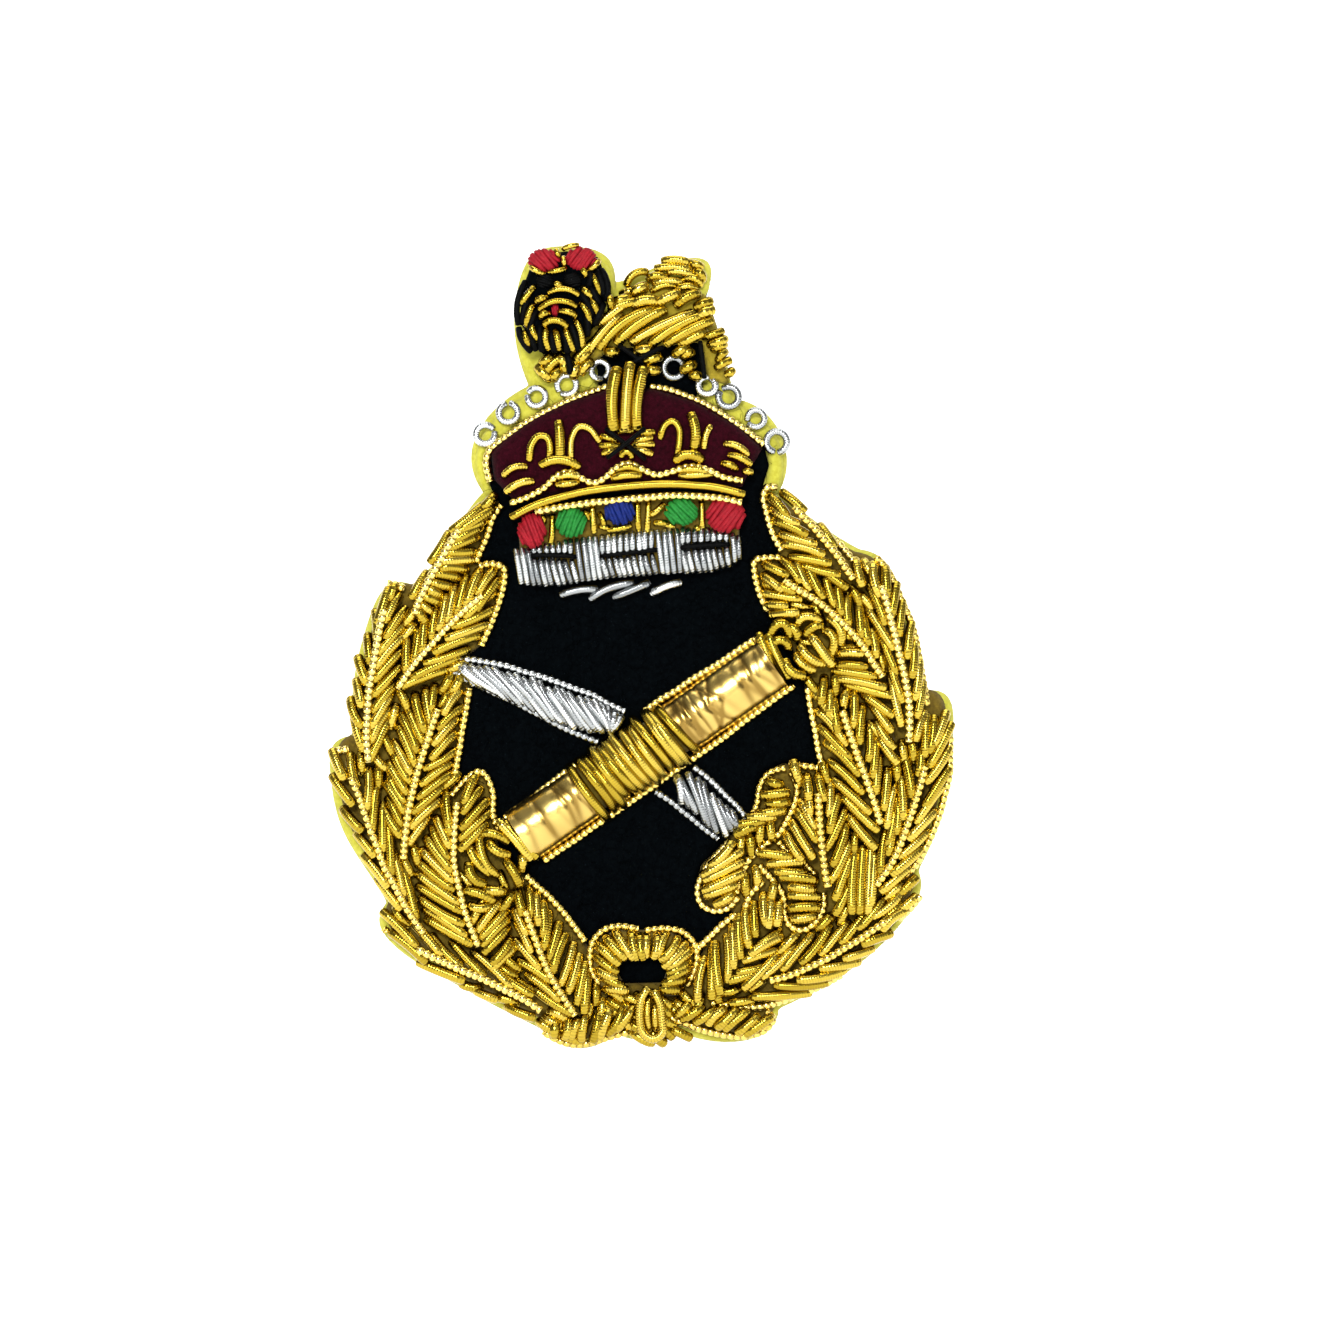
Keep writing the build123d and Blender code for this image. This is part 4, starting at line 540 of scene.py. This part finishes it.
# ================================================================ cloth layers
def rims(solid):
    """The closed outlines of a solid's wider flat side, the outer one first, each in order."""
    co, _, edges, _, _ = solid
    levels = [level for level in (co[:, 1].max(), co[:, 1].min())
              if (np.abs(co[:, 1] - level) < LEVEL).sum() > 2]
    level = max(levels, key=lambda y: np.ptp(co[np.abs(co[:, 1] - y) < LEVEL][:, 0]))
    here = np.nonzero(np.abs(co[:, 1] - level) < LEVEL)[0]
    key = np.round(co[here] * SAME_PLACE).astype(np.int64)
    _, first, inverse = np.unique(key, axis=0, return_index=True, return_inverse=True)
    index = np.full(len(co), -1)
    index[here] = inverse.reshape(-1)
    ring = co[here][first]
    links = index[edges]
    links = links[(links >= 0).all(1) & (links[:, 0] != links[:, 1])]
    pairs, count = np.unique(np.sort(links, 1), axis=0, return_counts=True)
    beside = {}
    for a, b in pairs[count > 1].tolist():
        beside.setdefault(a, []).append(b)
        beside.setdefault(b, []).append(a)
    loops = []
    left = set(beside)
    while left:
        at = min(left)
        route = []
        while at is not None:
            route.append(at)
            left.discard(at)
            at = next((n for n in beside[at] if n in left), None)
        if len(route) > 2:
            loops.append(ring[route])
    return sorted(loops, key=lambda loop: -np.ptp(loop[:, 0]))


def distance_to(points, loop):
    """How far each flat point is from a closed loop."""
    best = np.full(len(points), np.inf)
    for a, b in zip(loop, np.roll(loop, -1, axis=0)):
        run = b - a
        share = np.clip(((points - a) @ run) / max(run @ run, 1e-18), 0, 1)
        best = np.minimum(best, np.linalg.norm(points - a - share[:, None] * run, axis=1))
    return best


def inside_loops(points, loops):
    """Which flat points lie inside the outer loop and outside the holes."""
    inside = np.zeros(len(points), bool)
    for loop in loops:
        for a, b in zip(loop, np.roll(loop, -1, axis=0)):
            if a[1] != b[1]:
                over = (a[1] > points[:, 1]) != (b[1] > points[:, 1])
                meets = (b[0] - a[0]) * (points[:, 1] - a[1]) / (b[1] - a[1]) + a[0]
                inside ^= over & (points[:, 0] < meets)
    return inside


def layer_mesh(loops, low, high, spacing, edge, drop, rough):
    """A closed sheet inside some loops, between two heights: a rolled edge, a soft uneven face."""
    rounds, ring, base = [], [], 0
    for loop in loops:
        flat = loop[:, [0, 2]]
        closed = np.concatenate([flat, flat[:1]])
        run = np.concatenate([[0], np.cumsum(np.linalg.norm(np.diff(closed, axis=0), axis=1))])
        count = max(8, int(run[-1] / spacing))
        far = np.linspace(0, run[-1], count, endpoint=False)
        rounds.append(np.stack([np.interp(far, run, closed[:, k]) for k in (0, 1)], 1))
        ring += [(base + i, base + (i + 1) % count) for i in range(count)]
        base += count
    lowest, highest = rounds[0].min(0), rounds[0].max(0)
    grid = np.stack(np.meshgrid(np.arange(lowest[0], highest[0], spacing),
                                np.arange(lowest[1], highest[1], spacing)), -1).reshape(-1, 2)
    grid += rng.uniform(-0.25, 0.25, grid.shape) * spacing
    grid = grid[inside_loops(grid, rounds)]
    for loop in rounds:
        grid = grid[distance_to(grid, loop) > spacing * 0.6]
    plan = np.concatenate(rounds + [grid])
    verts, _, faces, _, _, _ = delaunay_2d_cdt([tuple(p) for p in plan.tolist()], ring, [], 0, 1e-9)
    verts = np.array([tuple(v) for v in verts])
    tri = np.array([f for f in faces if len(f) == 3])
    tri = tri[inside_loops(verts[tri].mean(1), rounds)]
    first, second = verts[tri[:, 1]] - verts[tri[:, 0]], verts[tri[:, 2]] - verts[tri[:, 0]]
    turned = first[:, 0] * second[:, 1] - first[:, 1] * second[:, 0] < 0
    tri[turned] = tri[turned][:, ::-1]
    gap = np.min([distance_to(verts, loop) for loop in rounds], axis=0)
    roll = drop * (1 - np.sqrt(1 - (1 - np.clip(gap / edge, 0, 1)) ** 2))
    face = high - roll + rng.normal(0, rough, len(verts)) * (gap > spacing / 9)
    front = np.stack([verts[:, 0], -face, verts[:, 1]], 1)
    back = np.stack([verts[:, 0], np.full(len(verts), -low), verts[:, 1]], 1)
    n = len(verts)
    used = {(a, b) for t in tri.tolist() for a, b in zip(t, t[1:] + t[:1])}
    side = [[b, a, n + a, n + b] for a, b in used if (b, a) not in used]
    return np.concatenate([front, back]), [tri, tri[:, ::-1] + n, sorted(side)]


def fibres(soup, places, heights, length):
    """Loose hairs of wool lying on a cloth face or standing a little out of it."""
    count = len(places)
    turn = rng.uniform(0, 2 * math.pi, count)
    lean = rng.uniform(*HAIR_LEAN, count)
    bend = rng.normal(0, HAIR_BEND, count)
    size = length * rng.uniform(*HAIR_SIZES, count)
    share = np.linspace(0, 1, HAIR_POINTS)
    heading = turn[:, None] + bend[:, None] * share[None, :]
    step = size[:, None] / (HAIR_POINTS - 1)
    x = places[:, 0:1] + np.cumsum(np.cos(heading) * step, 1)
    z = places[:, 1:2] + np.cumsum(np.sin(heading) * step, 1)
    arch = np.sin(share * math.pi)[None, :] * lean[:, None] * size[:, None] * 0.5
    for line in np.stack([x, -(heights[:, None] + arch), z], -1):
        tube(soup, line, share, HAIR_RADIUS, 3, plain_ridge, 0.5)


def sheet_piece(name, node, material, spacing, edge, rough, hairs=0, hair_length=1.2 * MM):
    """A cut layer of cloth with a matted face."""
    loops = rims(solids(node)[0])
    low_corner, high_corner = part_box(node)
    low, high = -high_corner[1], -low_corner[1]
    co, faces = layer_mesh(loops, low, high, spacing, edge, edge, rough)
    soup = Soup()
    soup.add(co, faces, 0.5, 0.0)
    if hairs:
        seeds = co[rng.integers(0, len(co) // 2, hairs)]
        fibres(soup, seeds[:, [0, 2]], -seeds[:, 1] - HAIR_SINK, hair_length)
    obj = settle(soup.build(name, material), node)


sheet_piece("lining_cloth", "backing_lining", LINING, 0.8 * MM, 0.15 * MM,
            0.006 * MM)
sheet_piece("buckram_sheet", "stiffener", BUCKRAM, 0.9 * MM, 0.12 * MM, 0.006 * MM)
sheet_piece("edge_felt_sheet", "edge_felt", YELLOW_FELT, 0.45 * MM, 0.35 * MM,
            0.03 * MM, hairs=2500, hair_length=1.0 * MM)
sheet_piece("ground_cloth_sheet", "ground_cloth", BLACK_FELT, 0.4 * MM, 0.25 * MM,
            0.035 * MM, hairs=3500, hair_length=1.6 * MM)


def pad_piece(name, node, material, spacing=0.5 * MM, edge=0.4 * MM, rough=0.03 * MM):
    """Felt or velvet pads: each solid of the node is one soft-edged pad."""
    soup = Soup()
    for solid in solids(node):
        back, front = solid[0][:, 1].max(), solid[0][:, 1].min()
        drop = 0.9 * (back - front)
        co, faces = layer_mesh(rims(solid), -back, -front, spacing, edge, drop, rough)
        soup.add(co, faces, 0.5, 0.0)
    settle(soup.build(name, material), node)


pad_piece("wreath_padding", "wreath_pads", WREATH_FELT)
# the bow and circlet pads are yellow felt painted dark as shade
pad_piece("bow_padding", "bow_pads", SHADED_YELLOW_FELT)
pad_piece("circlet_padding", "circlet_pad", SHADED_YELLOW_FELT)
pad_piece("lion_body_padding", "lion_pad", LION_FELT)
pad_piece("lion_head_padding", "lion_head_pad", BLACK_FELT, edge=1.0 * MM)
pad_piece("velvet_cap", "crown_cap", VELVET, spacing=0.35 * MM, edge=1.3 * MM,
          rough=0.02 * MM)

# ================================================================ the embroidery
GOLD_PURL = dict(material=GOLD, slot="gold_purl")
GOLD_BEADS = dict(material=GOLD_BEAD, slot="gold_purl", kind="pearl", sides=12)
SILVER_PURL = dict(material=SILVER, slot="silver_purl")
SILVER_BEADS = dict(material=SILVER, slot="silver_purl", kind="pearl", sides=12)
BLACK_FLOSS = dict(material=BLACK_THREAD, slot="black_thread", kind="floss", sides=12)

for side_name in ("left", "right"):
    for number in range(1, 9):
        leaf = f"{side_name}_leaf_{number}"
        wirework(leaf + "_coils", leaf, **GOLD_PURL, stout=STOUT)
    wirework(side_name + "_rib_beads", side_name + "_leaf_ribs", **GOLD_BEADS)
    wirework(side_name + "_edge_beads", side_name + "_leaf_edging", **GOLD_BEADS)
wirework("bow_loop_coils", "bow_loops_purl", **GOLD_PURL, stout=STOUT)
wirework("bow_tail_coils", "bow_tails_purl", **GOLD_PURL, stout=STOUT)
wirework("bow_knot_coils", "bow_knot", **GOLD_PURL, loosen=0.04 * MM)
wirework("bow_edge_beads", "bow_edging", **GOLD_BEADS)
wirework("crown_edge_beads", "crown_edging", **GOLD_BEADS)
wirework("crown_arch_coils", "crown_arch_and_rim", **GOLD_PURL, sides=14, loosen=0.02 * MM)
wirework("crown_cross_coils", "crown_cross", **GOLD_PURL, loosen=0.05 * MM)
wirework("crown_fleur_coils", "crown_fleurs", **GOLD_PURL, loosen=0.03 * MM, stout=STOUT)
wirework("crown_pearl_loops", "crown_pearls", **SILVER_PURL, loosen=0.02 * MM)
wirework("circlet_coils", "circlet_purl", **GOLD_PURL)
wirework("black_stitches", "crown_black_threads", **BLACK_FLOSS)
wirework("ermine_coils", "ermine_purl", **SILVER_PURL, sides=9, loosen=0.04 * MM, tone_range=(0, 1),
         stout=1.1)
wirework("fringe_coils", "ermine_fringe", **SILVER_PURL, loosen=0.05 * MM)
wirework("lion_body_coils", "lion_body_purl", **GOLD_PURL, stout=1.35)
wirework("lion_mane_coils", "lion_mane_purl", **GOLD_PURL, loosen=0.06 * MM, stout=1.2)
wirework("lion_mane_floss", "lion_mane_threads", **BLACK_FLOSS, loosen=0.05 * MM, stout=1.25)
wirework("lion_face_coils", "lion_face_purl", **GOLD_PURL, loosen=0.04 * MM)
wirework("sword_blade_coils", "sword_blade_purl", **SILVER_PURL, tone_range=(0, 1))
wirework("sword_edge_beads", "sword_edging", **SILVER_BEADS)
wirework("hilt_coils", "hilt_purl", **GOLD_PURL, stout=1.3)
wirework("baton_coils", "baton_purl", **GOLD_PURL, loosen=0.2 * MM, stout=STOUT)
wirework("gold_edge_beads", "gold_edging", **GOLD_BEADS)


# ================================================================ thread jewels
DOME_RINGS, DOME_SIDES = 9, 28
DOME_TIP = 0.02                         # the smallest ring, against the widest
DOME_ROUND = 0.7                        # under 1 makes the dome's top flatter
STITCH_POINTS = 20
STITCH_STEP = 0.1 * MM
STITCH_TWIST = 0.9 * MM
STITCH_REACH = 0.98                     # how far out on the dome a stitch runs


def thread_dome(soup, low, high, threads, tilt):
    """A knot of satin stitches laid side by side over a small padded dome."""
    middle = (np.array(low) + np.array(high)) / 2
    half = (np.array(high) - np.array(low)) / 2
    base, top = high[1], low[1]
    radius = 0.85 * half[0] / threads
    rise = base - top - 2 * radius

    def place(u, v, lift):
        height = np.sqrt(np.maximum(0, 1 - u * u - v * v)) ** DOME_ROUND
        x = u * math.cos(tilt) - v * math.sin(tilt)
        z = u * math.sin(tilt) + v * math.cos(tilt)
        y = base - lift - height * rise
        return np.stack([middle[0] + x * half[0], y, middle[2] + z * half[2]], -1)

    ring, around = np.meshgrid(np.linspace(1, DOME_TIP, DOME_RINGS),
                               np.linspace(0, 2 * math.pi, DOME_SIDES, endpoint=False),
                               indexing="ij")
    co = place(ring * np.cos(around), ring * np.sin(around), radius * 0.4).reshape(-1, 3)
    tip = list(range((DOME_RINGS - 1) * DOME_SIDES, DOME_RINGS * DOME_SIDES))
    foot = list(range(DOME_SIDES - 1, -1, -1))
    soup.add(co, [ring_quads(DOME_RINGS, DOME_SIDES), [tip], [foot]], 0.5, 0.0)
    for i in range(threads):
        offset = -1 + (2 * i + 1) / threads
        share = np.linspace(-1, 1, STITCH_POINTS)
        u = np.clip(offset + rng.normal(0, 0.03) + rng.normal(0, 0.05) * share, -0.97, 0.97)
        v = share * np.sqrt(1 - u * u) * STITCH_REACH
        fine, far = resample(place(u, v, radius), STITCH_STEP)
        tube(soup, fine, far, radius * rng.uniform(1.3, 1.6), 10,
             floss_ridge(STITCH_TWIST, radius * 0.25, rng.random()), rng.random())


def jewels(name, node, material, threads, tilts):
    soup = Soup()
    for solid, tilt in zip(solids(node), tilts):
        co = solid[0]
        thread_dome(soup, co.min(0), co.max(0), threads, tilt)
    settle(soup.build(name, material), node)


jewels("red_jewels", "jewels_red", RED, 9, (0.5, -0.6))
jewels("green_jewels", "jewels_green", GREEN, 9, (-0.4, 0.7))
jewels("blue_jewel", "jewel_blue", BLUE, 9, (0.3,))
jewels("lion_cap_domes", "lion_cap", RED, 9, (0.6, -0.5))
jewels("lion_eye_knots", "lion_eyes", BLACK_THREAD, 6, (1.2, 1.9))
jewels("lion_mouth_knot", "lion_mouth", RED, 4, (0.2,))


# ================================================================ baton
CREASE_FULL_SHADE = 0.07 * MM                 # a crease this deep gets the most painted shade
CREASE_MOST = 0.2 * MM
CORE_GAP = 0.35 * MM                    # the felt core stays this far inside the plates
CORE_SHORT = 0.1 * MM                   # and this far inside its own CAD ends
PLATE_THICK, CORE_THICK = 0.1 * MM, 1.6 * MM
PLATE_STEPS, PLATE_ROUND = 110, 40      # places along a plate and over it


def baton_axes(node):
    """The baton's direction, its sideways direction and its middle, from the CAD core."""
    co = solids(node)[0][0]
    back = co[np.abs(co[:, 1] - co[:, 1].max()) < LEVEL][:, [0, 2]]
    middle = (back.min(0) + back.max(0)) / 2
    _, _, axes = np.linalg.svd(back - back.mean(0))
    ahead = axes[0] if axes[0][0] > 0 else -axes[0]
    return ahead, np.array([-ahead[1], ahead[0]]), middle


def bent_plate(soup, start, end, half_width, rise, thickness, folds, frame_lines):
    """A shell bent over the baton in an oval, shaped by folds(s, angle); closed on every side."""
    ahead, across, middle, base = frame_lines
    along_count, round_count = PLATE_STEPS, PLATE_ROUND
    s = np.linspace(start, end, along_count)
    a = np.linspace(0, math.pi, round_count)
    dip = folds(s[:, None], a[None, :])
    layers = []
    for inset in (0.0, thickness):
        side, up = (half_width - dip - inset) * np.cos(a), (rise - dip - inset) * np.sin(a)
        plan = middle + s[:, None, None] * ahead + side[..., None] * across
        layers.append(np.stack([plan[..., 0], base - up, plan[..., 1]], -1).reshape(-1, 3))
    n = along_count * round_count
    i = np.arange(along_count - 1)[:, None] * round_count
    j = np.arange(round_count - 1)[None, :]
    outer = np.stack([i + j, i + round_count + j, i + round_count + j + 1, i + j + 1], -1)
    outer = outer.reshape(-1, 4)
    rim = [k * round_count for k in range(along_count)]
    rim += [(along_count - 1) * round_count + k for k in range(1, round_count)]
    rim += [k * round_count + round_count - 1 for k in range(along_count - 2, -1, -1)]
    rim += list(range(round_count - 2, 0, -1))
    side = [[q, p, n + p, n + q] for p, q in zip(rim, rim[1:] + rim[:1])]
    # painted shade in the creases, darker the deeper the crease
    deep = np.clip((dip / CREASE_FULL_SHADE).reshape(-1), 0, 1) * 0.8
    soup.add(np.concatenate(layers), [outer, outer[:, ::-1] + n, side], 0.6,
             np.concatenate([deep, deep]))


def crinkle(start, end, count, slant_size):
    """Soft folds across a plate, at uneven places and slants."""
    places = rng.uniform(start, end, count)
    slants = rng.normal(0, slant_size, count)
    widths = rng.uniform(0.14, 0.4, count) * MM
    depths = rng.uniform(0.02, 0.08, count) * MM

    def folds(s, a):
        dip = 0.01 * MM * (1 + np.sin(s / (0.7 * MM) + 2 * np.cos(a)))
        for place, slant, width, depth in zip(places, slants, widths, depths):
            line = s - place - slant * np.abs(np.cos(a))
            dip = dip + depth * np.exp(-(line / width) ** 2)
        return np.minimum(dip, CREASE_MOST) * np.sin(a)
    return folds


ahead, across, middle = baton_axes("baton_core")
low_corner, high_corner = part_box("baton_plates")
frame_lines = (ahead, across, middle, float(high_corner[1]))
rise = float(high_corner[1] - low_corner[1])
soup = Soup()
for solid, count, slant_size in zip(solids("baton_plates"), (9, 24), (0.3 * MM, 1.2 * MM)):
    flat = solid[0][:, [0, 2]] - middle
    start, end = (flat @ ahead).min(), (flat @ ahead).max()
    bent_plate(soup, start, end, np.abs(flat @ across).max(), rise, PLATE_THICK,
               crinkle(start, end, count, slant_size), frame_lines)
settle(soup.build("baton_gilt_plates", PLATE), "baton_plates")
flat = solids("baton_core")[0][0][:, [0, 2]] - middle
soup = Soup()
bent_plate(soup, (flat @ ahead).min() + CORE_SHORT, (flat @ ahead).max() - CORE_SHORT,
           np.abs(flat @ across).max() - CORE_GAP, rise - CORE_GAP, CORE_THICK,
           crinkle(0, 1 * MM, 2, 0.1 * MM), frame_lines)
# the felt core is yellow felt painted dark as shade
settle(soup.build("baton_felt_core", SHADED_YELLOW_FELT), "baton_core")


# ================================================================ stage
SWEEP_FRONT, SWEEP_BEND, SWEEP_RADIUS = -2.0, 0.45, 0.5     # metres, along the line of sight
SWEEP_TOP, SWEEP_HALF, SWEEP_STEPS = 3.0, 3.0, 12
FLOOR_GAP = 0.5 * MM                    # the floor's place under the badge


def stage_material(name, value, glow):
    material, tree, shader = new_material(name)
    stops = [(0.3, (value,) * 3), (0.7, (value * 0.985,) * 3)]
    tone = ramp(tree, noise(tree, 0.004), stops)
    tree.links.new(tone, shader.inputs["Base Color"])
    shader.inputs["Roughness"].default_value = 0.9
    shader.inputs["Emission Color"].default_value = (1, 1, 1, 1)
    shader.inputs["Emission Strength"].default_value = glow
    return material


floor_z = cad_box[0][2] - FLOOR_GAP
sweep_profile = [(SWEEP_FRONT, floor_z), (SWEEP_BEND, floor_z)]
for step in range(1, SWEEP_STEPS + 1):
    bend = step / SWEEP_STEPS * math.pi / 2
    sweep_profile.append((SWEEP_BEND + SWEEP_RADIUS * math.sin(bend),
                          floor_z + SWEEP_RADIUS * (1 - math.cos(bend))))
sweep_profile.append((SWEEP_BEND + SWEEP_RADIUS, SWEEP_TOP))
verts = [(x, y, z) for y, z in sweep_profile for x in (-SWEEP_HALF, SWEEP_HALF)]
faces = [(2 * i, 2 * i + 1, 2 * i + 3, 2 * i + 2) for i in range(len(sweep_profile) - 1)]
floor_mesh = bpy.data.meshes.new("floor_sweep")
floor_mesh.from_pydata(verts, [], faces)
floor_mesh.polygons.foreach_set("use_smooth", [True] * len(floor_mesh.polygons))
floor_mesh.materials.append(stage_material("pale_paper", 0.90, 0.75))
floor_obj = bpy.data.objects.new("floor_sweep", floor_mesh)
bpy.context.scene.collection.objects.link(floor_obj)


def area_light(name, place, target, size, power):
    light = bpy.data.lights.new(name, "AREA")
    light.shape = "RECTANGLE"
    light.size, light.size_y = size
    light.energy = power
    obj = bpy.data.objects.new(name, light)
    bpy.context.scene.collection.objects.link(obj)
    obj.location = place
    line = np.array(target) - np.array(place)
    obj.rotation_euler = (math.atan2(math.hypot(line[0], line[1]), -line[2]), 0,
                          math.atan2(line[1], line[0]) - math.pi / 2)


# name, place, what it points at, width and height in metres, watts
for lamp in (("key", (-0.18, -1.15, 0.42), (0, 0, 0), (0.30, 0.26), 17.0),
             ("fill", (0.75, -0.75, 0.1), (0, 0, 0), (0.35, 0.8), 1.2),
             ("top", (0.0, -0.35, 1.0), (0, 0, 0), (0.9, 0.5), 2.0),
             ("backdrop_wash", (0.0, -0.1, 1.6), (0, 0.9, 0.1), (1.8, 0.6), 14.0)):
    area_light(*lamp)

world = bpy.data.worlds.new("studio")
bpy.context.scene.world = world
world.use_nodes = True
world.node_tree.nodes["Background"].inputs["Color"].default_value = (0.40, 0.40, 0.41, 1)
world.node_tree.nodes["Background"].inputs["Strength"].default_value = 0.8

# ================================================================ camera
AIM = (0.0018, 0.0, -0.0013)            # the view's middle, right of and below the badge's own
FIELD = 0.12835                         # width of the view at the badge, in metres
LENS, SENSOR = 100, 36
camera_data = bpy.data.cameras.new("camera")
camera_data.lens = LENS
camera_data.sensor_width = SENSOR
camera = bpy.data.objects.new("camera", camera_data)
bpy.context.scene.collection.objects.link(camera)
camera.location = (AIM[0], AIM[1] - FIELD * LENS / SENSOR, AIM[2])
camera.rotation_euler = (math.pi / 2, 0, 0)
bpy.context.scene.camera = camera
bpy.context.scene.view_settings.view_transform = "Standard"
